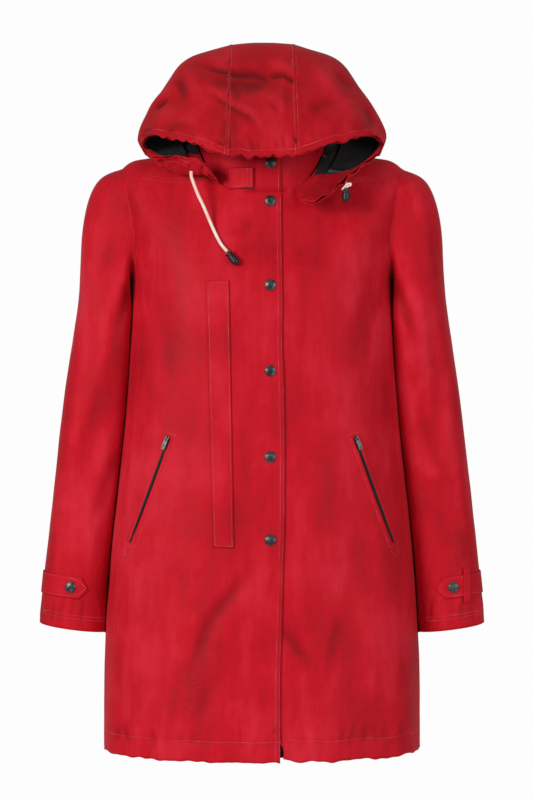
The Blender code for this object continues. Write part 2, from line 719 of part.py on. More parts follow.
def hood_plain(side, row, column):
    sections = HOOD + (HOOD_EDGE_LEFT if side > 0 else HOOD_EDGE_RIGHT,)
    index = min(int(row), 5)
    nearby = range(max(index - 1, 0), min(index + 3, 7))
    points = {i: hood_section(sections[i], column) for i in nearby}
    rows = [points.get(i, np.zeros(3)) for i in range(7)]
    point = blend_rows(rows, row)
    if column < 1:                  # the foot follows the neck seam between the sections too
        angles = [(section[0],) for section in sections]
        feet = [torso_at(NECK, angle, HOOD_FOOT) for angle, in angles]
        true_foot = torso_at(NECK, float(blend_rows(angles, row)[0]), HOOD_FOOT)
        point = point + (true_foot - blend_rows(feet, row)) * (1 - column)
    return point * np.array((side, 1, 1))


def hood_normal(side, row, column):
    row = min(max(row, 0.25), 5.9)
    column = min(max(column, 0.05), 4.95)

    def place(a, b):
        return hood_plain(side, a, b)

    return surface_normal(place, row, column, 0.04, 0.04, hood_plain(side, row, column) - HOOD_HEART)


def hood_centre(row, across, out=0.0):
    """A point of the centre strip: across runs from -1 at the right seam to 1."""
    seam_left = hood_side(1, row, 5.0)
    seam_right = hood_side(-1, row, 5.0)
    middle = (seam_left + seam_right) / 2
    point = middle + (seam_left - seam_right) / 2 * across
    back_angle = HOOD[0][1] + (180 - HOOD[0][1]) * (1 - abs(across))
    foot = torso_at(NECK, math.copysign(back_angle, across), HOOD_FOOT)
    if row < 1:
        return foot + (point - foot) * ease(row, 0.0, 1.0)
    normal_left = hood_normal(1, row, 5.0)
    normal_right = hood_normal(-1, row, 5.0)
    normal = unit(normal_left * (1 + across) + normal_right * (1 - across))
    bulge = 1 - across**2
    dent = CROWN_DENT * math.exp(-((row - 4.35) / 0.5) ** 2) * bulge
    point = point + normal * (CENTRE_CROWN * bulge - dent + out)
    point[2] -= BRIM_DROP * bulge * ease(row, 4.5, 6.0)
    return point


def hood_grid():
    """The hood's middle surface, from the right neck seam over to the left one."""
    grid = []
    for r in range(HOOD_ROWS + 1):
        row = 6.0 * r / HOOD_ROWS
        columns = [5.0 * c / HOOD_COLUMNS_SIDE for c in range(HOOD_COLUMNS_SIDE)]
        strip = [-1 + 2 * c / HOOD_COLUMNS_CENTRE for c in range(HOOD_COLUMNS_CENTRE + 1)]
        grid.append([hood_side(-1, row, column) for column in columns]
                    + [hood_centre(row, across) for across in strip]
                    + [hood_side(1, row, column) for column in reversed(columns)])
    return grid


def columns_of(grid, first, last):
    return [row[first:last + 1] for row in grid]


def ends_drawn_back(grid, distance, at_first=False, at_last=False):
    """The same cloth with its first or last row moved in from a seam."""
    grid = [list(row) for row in grid]
    for use, end, inner in ((at_first, 0, 1), (at_last, -1, -2)):
        if use:
            grid[end] = [a + unit(b - a) * distance for a, b in zip(grid[end], grid[inner])]
    return grid


hood = hood_grid()
seam_right = HOOD_COLUMNS_SIDE
seam_left = HOOD_COLUMNS_SIDE + HOOD_COLUMNS_CENTRE
last_column = len(hood[0]) - 1
side_right = columns_of(hood, 0, seam_right)
side_left = columns_of(hood, seam_left, last_column)
add_wall("hood_side_right", draw_back(side_right), WALL, RED)
add_wall("hood_side_left", draw_back(side_left), WALL, RED)
add_wall("hood_centre", draw_back(columns_of(hood, seam_right, seam_left)), WALL, RED)
inside = columns_of(moved_out(hood, -LINING_STEP), 1, last_column - 1)
add_wall("hood_facing", ends_drawn_back(inside[FACING_ROW:], LINING_EDGE, at_first=True),
         LINING_WALL, RED)
add_wall("hood_lining", ends_drawn_back(inside[1:FACING_ROW + 1], LINING_EDGE, at_last=True),
         LINING_WALL, BLACK)

# ---- collar stand ----------------------------------------------------------


def stand_at(angle, height, out=0.0):
    """The stand inside the hood's front; height runs from the neck seam up."""
    base = torso_ring(NECK, angle)
    inward = unit(np.array((base[0], base[1], 0.0)))
    step = STAND_STEP * ease(abs(angle), *STAND_FORWARD)
    return base - inward * (step - out) + np.array((0.0, 0.0, height))


def stand_half(name, side):
    grid = []
    start = angle_at_x(NECK, LAP_TOP if side < 0 else UNDERLAP)
    end = side * STAND_END
    for r in range(STAND_ROWS + 1):
        share = r / STAND_ROWS
        row = []
        for c in range(STAND_COLUMNS + 1):
            angle = start + (end - start) * c / STAND_COLUMNS
            top = STAND_HEIGHT * (1 - STAND_FALL * ease(abs(angle), STAND_FORWARD[1], STAND_END))
            x = torso_ring(NECK, angle)[0]
            sink = lap_sink(x) if side > 0 else 0.0
            row.append(stand_at(angle, lerp(STAND_FOOT, top, share), sink))
        grid.append(row)
    return add_wall(name, grid, WALL, RED)


stand_half("stand_right", -1)
stand_half("stand_left", 1)

# ---- pieces that lie on the fronts -----------------------------------------
ON_PANEL = WALL / 2 + LAY_GAP             # from a panel's middle to what lies on it


def chest_flap():
    """The long pressed flap over the vertical chest pocket."""
    grid = []
    for r in range(FLAP_ROWS + 1):
        share = r / FLAP_ROWS
        z = lerp(*FLAP_Z, share)
        left, right = lerp(*FLAP_LEFT_X, share), lerp(*FLAP_RIGHT_X, share)
        grid.append([torso_at_xz(lerp(left, right, c / 2), z, ON_PANEL + FLAP_WALL / 2)
                     for c in range(3)])
    add_wall("chest_flap", grid, FLAP_WALL, RED)


def zip_frame(spine, place):
    """Axes at a point of the zip, as columns: down it, across it and out."""
    here = spine[place]
    down = unit(spine[place + 1] - here)
    outward = torso_at_xz(here[0], here[2], PROBE) - torso_at_xz(here[0], here[2])
    outward = unit(outward - (outward @ down) * down)
    return np.array((down, np.cross(outward, down), outward)).T


def place_in(piece, axes, origin):
    """Turns an object to a frame's axes and puts it at a point in mm."""
    turn = Matrix([[float(v) for v in row] for row in axes]).to_4x4()
    piece.matrix_world = Matrix.Translation([float(v) * MM for v in origin]) @ turn


def add_box(name, centre, size, collection):
    """A box along the axes of the frame that it is placed in later."""
    bpy.ops.mesh.primitive_cube_add(size=1.0)
    box = bpy.context.object
    box.name = box.data.name = name
    box.data.transform(Matrix.Diagonal((*[v * MM for v in size], 1.0)))
    box.data.transform(Matrix.Translation([v * MM for v in centre]))
    for owner in list(box.users_collection):
        owner.objects.unlink(box)
    collection.objects.link(box)
    return box


def add_slider(name, axes, origin, pivot_down):
    """The slider's body with its bail, which the pull tab's crossbar turns in."""
    body = add_box(name, (0, 0, 0), SLIDER, parka)
    body.data.materials.append(GUNMETAL)
    edge = body.modifiers.new("edge", "BEVEL")
    edge.width = SLIDER_EDGE * MM
    edge.segments = 2
    reach = PULL_BAR / 2 + BAIL_GAP + BAIL / 2
    top = pivot_height() + reach
    leg_height = top + BAIL / 2
    pieces = [((pivot_down + step * reach, 0, leg_height / 2), (BAIL, BAIL, leg_height))
              for step in (-1, 1)]
    pieces.append(((pivot_down, 0, top), (2 * reach + BAIL / 2, BAIL_TOP, BAIL_TOP)))
    place_in(body, axes, origin)
    for number, (centre, size) in enumerate(pieces):
        other = add_box(f"{name}_bail_{number}", centre, size, cutters)
        other.hide_render = True
        other.display_type = "WIRE"
        place_in(other, axes, origin)
        join = body.modifiers.new("join", "BOOLEAN")
        join.operation = "UNION"
        join.object = other


def pivot_height():
    """From the slider's middle out to the axis that its pull tab turns on."""
    return SLIDER[2] / 2 + PULL_BAR / 2 + BAIL_GAP


def rounded_box(x0, x1, width, corner, steps=3):
    """The outline of a plate with round corners, in a plane."""
    corners = ((x1 - corner, width / 2 - corner, 0), (x0 + corner, width / 2 - corner, 90),
               (x0 + corner, -width / 2 + corner, 180), (x1 - corner, -width / 2 + corner, 270))
    return [(x + corner * math.cos(math.radians(start + 90 * i / steps)),
             y + corner * math.sin(math.radians(start + 90 * i / steps)))
            for x, y, start in corners for i in range(steps + 1)]


def add_pull(name, axes, pivot):
    """The pull tab: a flat plate whose slot leaves a crossbar on the pivot."""
    curve = bpy.data.curves.new(name, "CURVE")
    curve.dimensions = "2D"
    curve.fill_mode = "BOTH"
    curve.extrude = PULL_BAR / 2 * MM
    end = PULL[0] - PULL_BAR / 2
    slot_end = PULL_BAR / 2 + PULL_SLOT[0]
    outlines = (rounded_box(-PULL_BAR / 2, end, PULL[1], 0.5),
                rounded_box(PULL_BAR / 2, slot_end, PULL_SLOT[1], 0.4))
    for outline in outlines:
        spline = curve.splines.new("POLY")
        spline.points.add(len(outline) - 1)
        spline.use_cyclic_u = True
        for spot, (x, y) in zip(spline.points, outline):
            spot.co = (x * MM, y * MM, 0.0, 1.0)
    curve.materials.append(GUNMETAL)
    piece = bpy.data.objects.new(name, curve)
    parka.objects.link(piece)
    place_in(piece, axes, pivot)


def pocket_zip(hand, side):
    """A hand pocket's zip: its tape in the slanted opening, slider and pull."""
    spine = []
    for r in range(ZIP_ROWS + 1):
        share = r / ZIP_ROWS
        spine.append(torso_at_xz(lerp(*ZIP_X, share) * side, lerp(*ZIP_Z, share)))
    grid = []
    for r, point in enumerate(spine):
        axes = zip_frame(spine, min(r, ZIP_ROWS - 1))
        middle = point + axes[:, 2] * (ON_PANEL + ZIP_WALL / 2)
        grid.append([middle + axes[:, 1] * (ZIP_WIDTH * (c / 2 - 0.5)) for c in range(3)])
    add_wall(f"pocket_zip_{hand}", grid, ZIP_WALL, ZIP)
    axes = zip_frame(spine, 0)
    base = ON_PANEL + ZIP_WALL + SEAM_GAP
    origin = spine[0] + axes @ np.array((SLIDER[0] / 2, 0.0, base + SLIDER[2] / 2))
    pivot_down = -SLIDER[0] / 2 + PULL_BAR / 2 + BAIL_GAP + BAIL + SLIDER_EDGE
    add_slider(f"zip_slider_{hand}", axes, origin, pivot_down)
    pivot = origin + axes @ np.array((pivot_down, 0.0, pivot_height()))
    add_pull(f"zip_pull_{hand}", axes, pivot)


def add_snap(name, base, out):
    add_turned(name, SNAP_PROFILE, GUNMETAL, base, out)


chest_flap()
for side, hand in ((-1, "right"), (1, "left")):
    pocket_zip(hand, side)

for number, z in enumerate(SNAP_Z):
    spot = torso_at_xz(SNAP_X, z, WALL / 2 + SEAM_GAP)
    outward = unit(torso_at_xz(SNAP_X, z, PROBE) - torso_at_xz(SNAP_X, z))
    add_snap(f"front_snap_{number + 2}", spot, outward)
stand_spot = stand_at(angle_at_x(NECK, SNAP_X), STAND_SNAP_HEIGHT, WALL / 2 + SEAM_GAP)
add_snap("front_snap_1", stand_spot, np.array((0.0, -1.0, 0.0)))


def throat_tab():
    """The tab on the stand that closes the throat, here folded back."""
    grid = []
    for r in range(3):
        z = lerp(*THROAT_Z, r / 2)
        row = []
        for c in range(5):
            x = lerp(*THROAT_X, c / 4)
            angle = angle_at_x(NECK, x)
            height = z - torso_ring(NECK, angle)[2]
            lift = THROAT_LIFT * (c / 4) ** 2
            row.append(stand_at(angle, height, ON_PANEL + FLAP_WALL / 2 + lift))
        grid.append(row)
    add_wall("throat_tab", grid, FLAP_WALL, RED)


throat_tab()

# ---- cuffs -----------------------------------------------------------------


def cuff_tab(hand, side):
    """A pointed tab round the cuff, closed by a snap near its tip."""
    shoulder = TAB_ANGLES[1] + TAB_POINT
    places = [(lerp(TAB_ANGLES[0], shoulder, c / TAB_COLUMNS), 1.0) for c in range(TAB_COLUMNS + 1)]
    places.append((TAB_ANGLES[1], TAB_TIP))
    grid = []
    for across in (-1, 0, 1):
        grid.append([sleeve_at(TAB_POSITION + across * TAB_HALF * width, angle, TAB_OUT)
                     for angle, width in places])
    add_wall(f"cuff_tab_{hand}", mirrored(grid, side), FLAP_WALL, RED)
    flip = np.array((side, 1, 1))
    spot = sleeve_at(TAB_POSITION, TAB_SNAP_ANGLE, TAB_OUT + FLAP_WALL / 2 + LAY_GAP)
    away = sleeve_at(TAB_POSITION, TAB_SNAP_ANGLE, PROBE) - spot
    add_snap(f"cuff_snap_{hand}", spot * flip, unit(away) * flip)


def cuff_loop():
    """The belt loop that holds the left cuff's tab."""
    grid = []
    for r in range(LOOP_ROWS + 1):
        along = 2 * r / LOOP_ROWS - 1
        position = TAB_POSITION + along * LOOP_HALF
        raised = ease(1 - abs(along), *LOOP_RISE)
        out = ON_PANEL + LOOP_WALL / 2 + raised * (TAB_OUT - ON_PANEL + FLAP_WALL / 2 + LAY_GAP)
        row = [sleeve_at(position, LOOP_ANGLE + LOOP_SLANT * along + LOOP_WIDTH * (c - 0.5), out)
               for c in range(2)]
        grid.append(row)
    add_wall("cuff_loop_left", grid, LOOP_WALL, RED)


cuff_tab("right", -1)
cuff_tab("left", 1)
cuff_loop()

# ---- drawcord --------------------------------------------------------------


def smooth_route(route, count):
    return [blend_rows(route, (len(route) - 1) * i / count) for i in range(count + 1)]


def add_toggle(name, top, axis):
    add_turned(name, TOGGLE_PROFILE, HORN, top, -axis, steps=12)


def right_cord_route():
    """Down from the hood's edge, then over the chest to its toggle."""
    row, column = CORD_RIGHT_EXIT
    route = [moved_out(hood, CORD_RIGHT_GAP)[row, column]]
    route += [np.array(place, float) for place in CORD_RIGHT_FREE]
    for x, z, out in CORD_RIGHT_CHEST:
        route.append(torso_at_xz(x, z, WALL / 2 + out))
    return route


route_right = right_cord_route()
ring_spot, toggle_top, toggle_end = [
    torso_at_xz(x, z, WALL / 2 + LAY_GAP + out) for x, z, out in TOGGLE_RIGHT]
toggle_axis = unit(toggle_end - toggle_top)
route_right.append(ring_spot - toggle_axis * (RING[1] + SEAM_GAP))
add_cord("cord_right", smooth_route(route_right, CORD_POINTS), CORD_RADIUS, CORD)
bpy.ops.mesh.primitive_torus_add(major_segments=14, minor_segments=7, major_radius=RING[0] * MM,
                                 minor_radius=RING[1] * MM)
ring = bpy.context.object
for owner in list(ring.users_collection):
    owner.objects.unlink(ring)
parka.objects.link(ring)
ring.name = ring.data.name = "cord_ring_right"
ring.data.materials.append(BRASS)
ring.location = [float(v) * MM for v in ring_spot]
ring.rotation_mode = "QUATERNION"
ring.rotation_quaternion = Vector([float(v) for v in toggle_axis]).to_track_quat("Z", "Y")
add_toggle("toggle_right", ring_spot + toggle_axis * (RING[1] + SEAM_GAP), toggle_axis)

left_row, left_column = CORD_LEFT_EXIT
left_route = [moved_out(hood, CORD_LEFT_GAP)[left_row, last_column - left_column]]
left_route += [np.array(place, float) for place in CORD_LEFT]
add_cord("cord_left", smooth_route(left_route, CORD_POINTS), CORD_LEFT_RADIUS, CORD)
left_axis = unit(np.array(TOGGLE_LEFT_AXIS, float))
add_toggle("toggle_left", left_route[-1] + left_axis * TOGGLE_LEFT_GAP, left_axis)
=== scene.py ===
import math
import bmesh
import bpy
import numpy as np
from mathutils import Matrix, Vector, noise
from mathutils.bvhtree import BVHTree


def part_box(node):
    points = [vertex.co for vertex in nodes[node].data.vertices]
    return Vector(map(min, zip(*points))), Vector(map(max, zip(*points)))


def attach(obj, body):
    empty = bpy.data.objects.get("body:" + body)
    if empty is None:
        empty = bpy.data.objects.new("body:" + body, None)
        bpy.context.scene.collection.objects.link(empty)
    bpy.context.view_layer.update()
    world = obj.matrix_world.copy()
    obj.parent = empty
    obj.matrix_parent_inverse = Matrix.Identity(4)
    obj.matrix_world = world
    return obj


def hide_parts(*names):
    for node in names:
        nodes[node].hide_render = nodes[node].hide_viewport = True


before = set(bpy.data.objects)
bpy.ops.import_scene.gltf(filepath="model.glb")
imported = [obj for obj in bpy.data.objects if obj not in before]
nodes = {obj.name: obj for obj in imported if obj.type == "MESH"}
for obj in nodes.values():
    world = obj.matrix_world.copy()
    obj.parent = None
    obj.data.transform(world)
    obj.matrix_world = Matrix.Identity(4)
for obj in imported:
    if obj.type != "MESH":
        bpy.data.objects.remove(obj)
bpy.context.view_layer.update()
bpy.ops.object.select_all(action="DESELECT")

# ---- camera, light and floor --------------------------------------------------
# A level camera three metres in front of the coat, a broad soft light above and
# beside it, a weaker one from the other side, and a white room with a pale floor.
camera = bpy.data.objects.new("camera", bpy.data.cameras.new("camera"))
bpy.context.scene.collection.objects.link(camera)
camera.location = (0.0065, -3.0, -0.3625)
camera.rotation_euler = (math.radians(90), 0, 0)
camera.data.lens = 93.1
bpy.context.scene.camera = camera


def linear(colour):
    """An sRGB hex colour as linear red, green, blue and alpha."""
    parts = [int(colour[i:i + 2], 16) / 255 for i in (1, 3, 5)]
    return tuple(p / 12.92 if p <= 0.04045 else ((p + 0.055) / 1.055) ** 2.4 for p in parts) + (1.0,)


def area_light(name, place, size, power):
    data = bpy.data.lights.new(name, "AREA")
    data.size, data.energy = size, power
    lamp = bpy.data.objects.new(name, data)
    bpy.context.scene.collection.objects.link(lamp)
    lamp.location = place
    lamp.rotation_euler = (Vector((0, 0, -0.35)) - Vector(place)).to_track_quat("-Z", "Y").to_euler()


world = bpy.data.worlds.new("white_room")
world.use_nodes = True
world.node_tree.nodes["Background"].inputs["Color"].default_value = linear("#FFFFFF")
world.node_tree.nodes["Background"].inputs["Strength"].default_value = 0.30
bpy.context.scene.world = world
bpy.context.scene.view_settings.view_transform = "Standard"


def add_node(tree, kind, settings=None, inputs=None, links=None):
    """Adds a shader node, with its settings, its inputs' values and the links into it."""
    node = tree.nodes.new(kind)
    for name, value in (settings or {}).items():
        setattr(node, name, value)
    for name, value in (inputs or {}).items():
        node.inputs[name].default_value = value
    for name, output in (links or {}).items():
        tree.links.new(output, node.inputs[name])
    return node


# The room lights the coat softly, and behind it shows as the white paper it is.
room = world.node_tree
white = add_node(room, "ShaderNodeBackground", inputs={"Color": linear("#FDFDFD"), "Strength": 1.0})
seen = add_node(room, "ShaderNodeLightPath")
mixed = add_node(room, "ShaderNodeMixShader", links={0: seen.outputs["Is Camera Ray"],
                                                     1: room.nodes["Background"].outputs[0],
                                                     2: white.outputs[0]})
room.links.new(mixed.outputs[0], room.nodes["World Output"].inputs["Surface"])
area_light("softbox_key", (-2.2, -2.5, 0.5), 1.1, 70)
area_light("softbox_fill", (2.2, -2.6, 0.1), 2.0, 38)
area_light("softbox_top", (0.0, -0.4, 2.6), 1.4, 6)


def new_material(name, colour, roughness, metallic=0.0):
    material = bpy.data.materials.new(name)
    material.use_nodes = True
    shader = material.node_tree.nodes["Principled BSDF"]
    shader.inputs["Base Color"].default_value = linear(colour)
    shader.inputs["Roughness"].default_value = roughness
    shader.inputs["Metallic"].default_value = metallic
    return material, material.node_tree, shader


def ramp(tree, factor, stops):
    """A colour ramp read by a factor; stops are places and hex colours."""
    node = add_node(tree, "ShaderNodeValToRGB", links={"Fac": factor})
    elements = node.color_ramp.elements
    while len(elements) < len(stops):
        elements.new(0.5)
    for element, (place, colour) in zip(elements, stops):
        element.position, element.color = place, linear(colour)
    return node.outputs["Color"]


def object_noise(tree, scale, detail, **others):
    """Noise on the object's own coordinates."""
    spot = add_node(tree, "ShaderNodeTexCoord").outputs["Object"]
    return add_node(tree, "ShaderNodeTexNoise", inputs={"Scale": scale, "Detail": detail, **others},
                    links={"Vector": spot}).outputs["Fac"]


def set_colour(tree, shader, factor, stops):
    tree.links.new(ramp(tree, factor, stops), shader.inputs["Base Color"])


# Matt studio paper: even and pale, with a faint grain.
paper, tree, shader = new_material("studio_paper", "#F4F4F2", 0.9)
set_colour(tree, shader, object_noise(tree, 4.0, 2.0), [(0.0, "#F0F0EE"), (1.0, "#F8F8F7")])
FLOOR_Z, FLOOR_RADIUS = -1.12, 0.9
bpy.ops.mesh.primitive_circle_add(vertices=96, radius=FLOOR_RADIUS, fill_type="NGON", location=(0, 0, FLOOR_Z))
floor = bpy.context.object
floor.name = "floor"
bpy.ops.object.transform_apply(location=True)
floor.data.materials.append(paper)

# ---- hood drawcord ------------------------------------------------------------
# A three-strand cotton cord, undyed and handled.  Its right end falls from the
# hood's edge to the chest, and its left end makes a small loop.


def blend_rows(rows, position):
    """A smooth curve through points, read at a fractional point number."""
    rows = np.asarray(rows, float)
    last = len(rows) - 1
    index = min(int(position), last - 1)
    t = position - index
    here, after = rows[index], rows[index + 1]
    slope_0 = after - here if index == 0 else (after - rows[index - 1]) / 2
    slope_1 = after - here if index == last - 1 else (rows[index + 2] - here) / 2
    return ((2 * t**3 - 3 * t**2 + 1) * here + (t**3 - 2 * t**2 + t) * slope_0
            + (3 * t**2 - 2 * t**3) * after + (t**3 - t**2) * slope_1)


def running_length(points):
    """How far along a path each of its points lies."""
    return np.concatenate(([0], np.cumsum(np.linalg.norm(np.diff(points, axis=0), axis=1))))


def read_rows(along, rows, places):
    """Rows of x, y and z known along a path, read at other places along it."""
    return np.array([[np.interp(s, along, rows[:, k]) for k in range(3)] for s in places])


def even_route(points, step):
    """The smooth curve through points in mm, as points in metres a step apart."""
    fine = np.array([blend_rows(points, (len(points) - 1) * i / 400) for i in range(401)]) / 1000
    along = running_length(fine)
    places = np.linspace(0, along[-1], max(int(along[-1] / step), 2) + 1)
    return read_rows(along, fine, places), along[-1]


def mesh_of(name, points, faces):
    mesh = bpy.data.meshes.new(name)
    mesh.from_pydata([tuple(map(float, p)) for p in points], [], faces)
    mesh.shade_smooth()
    return mesh


def twisted_tube(name, route, radius, strands, pitch, sides):
    """A tube of twisted strands round a route, with closed ends."""
    points, faces = [], []
    side = Vector((1, 0, 0))
    count = len(route)
    along = 0.0
    for i, here in enumerate(route):
        heading = Vector(route[min(i + 1, count - 1)] - route[max(i - 1, 0)]).normalized()
        side = (side - side.dot(heading) * heading).normalized()
        other = heading.cross(side)
        if i:
            along += np.linalg.norm(here - route[i - 1])
        for k in range(sides):
            angle = 2 * math.pi * k / sides
            lobe = abs(math.cos(strands / 2 * (angle - 2 * math.pi * along / pitch)))
            reach = radius * (0.80 + 0.24 * lobe ** 0.7)
            points.append(Vector(here) + (side * math.cos(angle) + other * math.sin(angle)) * reach)
    for i in range(count - 1):
        for k in range(sides):
            after = (k + 1) % sides
            faces.append((i * sides + k, i * sides + after, (i + 1) * sides + after, (i + 1) * sides + k))
    faces.append(tuple(reversed(range(sides))))
    faces.append(tuple(range((count - 1) * sides, count * sides)))
    return mesh_of(name, points, faces)


def bumped(tree, height, strength, distance, below=None):
    """The normal of a bump, laid over the one below it if there is one."""
    links = {"Height": height, "Normal": below} if below else {"Height": height}
    return add_node(tree, "ShaderNodeBump", inputs={"Strength": strength, "Distance": distance},
                    links=links).outputs["Normal"]


def set_bump(tree, shader, height, strength, distance):
    tree.links.new(bumped(tree, height, strength, distance), shader.inputs["Normal"])


# Undyed cotton cord: matt and cream, a warm peach where the red has bled into it.
cotton, tree, shader = new_material("twisted_cotton", "#FFE2D0", 0.85)
shader.inputs["Sheen Weight"].default_value = 0.3
set_colour(tree, shader, object_noise(tree, 70.0, 2.0), [(0.3, "#F6CDB8"), (0.7, "#FFEADC")])
set_bump(tree, shader, object_noise(tree, 900.0, 3.0), 0.5, 0.0003)


def mapped(tree, value, ends):
    """A value moved to another range, with the ends that aren't 0 and 1."""
    return add_node(tree, "ShaderNodeMapRange", inputs=ends, links={"Value": value}).outputs["Result"]


def set_roughness(tree, shader, factor, low, high):
    tree.links.new(mapped(tree, factor, {"To Min": low, "To Max": high}), shader.inputs["Roughness"])


# Moulded plastic, nearly black, polished by handling.
horn, tree, shader = new_material("moulded_nylon", "#15171A", 0.32)
scuff = object_noise(tree, 160.0, 4.0)
set_roughness(tree, shader, scuff, 0.22, 0.5)
set_colour(tree, shader, scuff, [(0.35, "#0F1114"), (0.75, "#24272B")])

# Old brass: dark brown tarnish with brighter worn places.
brass, tree, shader = new_material("tarnished_brass", "#8C6A45", 0.42, 0.85)
set_colour(tree, shader, object_noise(tree, 260.0, 4.0), [(0.3, "#6A4A30"), (0.6, "#9A7448"), (0.85, "#CBA473")])


def frame_of(node, longest):
    """A CAD node's middle, the axis along its longest or its shortest way, and its half length there."""
    points = np.array([nodes[node].matrix_world @ v.co for v in nodes[node].data.vertices])
    middle = (points.min(0) + points.max(0)) / 2
    axes = np.linalg.eigh(np.cov((points - points.mean(0)).T))[1]
    axis = axes[:, -1] if longest else axes[:, 0]
    reach = (points - middle) @ axis
    return middle + axis * (reach.max() + reach.min()) / 2, axis, (reach.max() - reach.min()) / 2


def finished(name, mesh, material, stands_for=()):
    """Puts a mesh in the scene as a piece of the coat."""
    piece = bpy.data.objects.new(name, mesh)
    bpy.context.scene.collection.objects.link(piece)
    mesh.materials.clear()
    mesh.materials.append(material)
    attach(piece, "coat")
    if stands_for:
        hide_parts(*stands_for)
    return piece


def select_only(piece):
    bpy.ops.object.select_all(action="DESELECT")
    bpy.context.view_layer.objects.active = piece
    piece.select_set(True)


def turned(name, profile, middle, axis, steps, material, node):
    """A turned piece: radius and height in mm along an axis from a middle, spun and merged."""
    mesh = bpy.data.meshes.new(name)
    mesh.from_pydata([(r / 1000, 0, h / 1000) for r, h in profile],
                     [(i, i + 1) for i in range(len(profile) - 1)], [])
    piece = finished(name, mesh, material, (node,))
    select_only(piece)
    bpy.ops.object.mode_set(mode="EDIT")
    bpy.ops.mesh.select_all(action="SELECT")
    bpy.ops.mesh.spin(steps=steps, angle=2 * math.pi, center=(0, 0, 0), axis=(0, 0, 1))
    bpy.ops.mesh.remove_doubles(threshold=0.00001)
    bpy.ops.mesh.select_all(action="SELECT")
    bpy.ops.mesh.normals_make_consistent(inside=False)
    bpy.ops.object.mode_set(mode="OBJECT")
    piece.select_set(False)
    turn = Vector(axis).to_track_quat("Z", "Y").to_matrix().to_4x4()
    mesh.transform(Matrix.Translation(Vector(middle)) @ turn)
    mesh.shade_smooth()
    return piece


TOGGLE_BELL = ((0, 10.0), (2.9, 10.0), (3.5, 9.4), (3.4, 8.0), (3.3, 7.2), (4.3, 6.4), (4.9, 5.6), (5.0, 4.6),
               (4.7, 4.2), (5.5, 3.6), (5.7, 2.4), (5.3, 1.9), (5.9, 1.2), (6.0, 0.0), (5.5, -0.5), (5.9, -1.2),
               (5.8, -2.6), (5.3, -3.1), (5.5, -3.8), (5.2, -5.4), (4.6, -7.0), (3.6, -8.6), (2.0, -9.7), (0, -10.0))
for hand in ("right", "left"):
    middle, axis, _ = frame_of(f"toggle_{hand}", True)
    if axis[2] < 0:
        axis = -axis
    turned(f"toggle_bell_{hand}", TOGGLE_BELL, middle, axis, 32, horn,
                           f"toggle_{hand}")


def torus(name, major, minor, segments, placing, material):
    """A ring of the coat, with its two radii in metres."""
    bpy.ops.mesh.primitive_torus_add(major_segments=segments[0], minor_segments=segments[1],
                                     major_radius=major, minor_radius=minor)
    piece = bpy.context.object
    piece.name = name
    piece.data.transform(placing)
    piece.location = (0, 0, 0)
    piece.data.materials.append(material)
    piece.data.shade_smooth()
    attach(piece, "coat")
    return piece


middle, axis, _ = frame_of("cord_ring_right", False)
placing = Matrix.Translation(Vector(middle)) @ Vector(axis).to_track_quat("Z", "Y").to_matrix().to_4x4()
ring = torus("cord_ring", 0.005, 0.0013, (40, 14), placing, brass)
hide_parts("cord_ring_right")

CORD_RIGHT = ((-98.9, -103.9, -43.2), (-98.5, -109, -50), (-95.5, -113.5, -59), (-89.5, -114.5, -75),
              (-81, -112.5, -93), (-67.4, -107.9, -124.4), (-57.5, -112.7, -143.8), (-47.5, -118.6, -156.4))
CORD_LEFT = ((118, -103.5, -57.2), (115.5, -109, -67), (111.5, -117, -69), (114, -119.8, -67),
             (118.5, -119, -62.3), (123.2, -118, -60.9), (123.8, -118.5, -63.4), (119.5, -119, -65),
             (118.4, -119, -67))
CORD_STEP, STRANDS, TUBE_SIDES = 0.0008, 3, 18
for hand, points, radius, pitch, extra in (("right", CORD_RIGHT, 2.3, 9.0, [ring]),
                                           ("left", CORD_LEFT, 1.3, 5.0, [])):
    route, length = even_route(points, CORD_STEP)
    mesh = twisted_tube(f"drawcord_{hand}", route, radius / 1000, STRANDS, pitch / 1000, TUBE_SIDES)
    cord = finished(f"drawcord_{hand}", mesh, cotton, (f"cord_{hand}",))
    tuple(route[0])
    [tuple(p) for p in route]
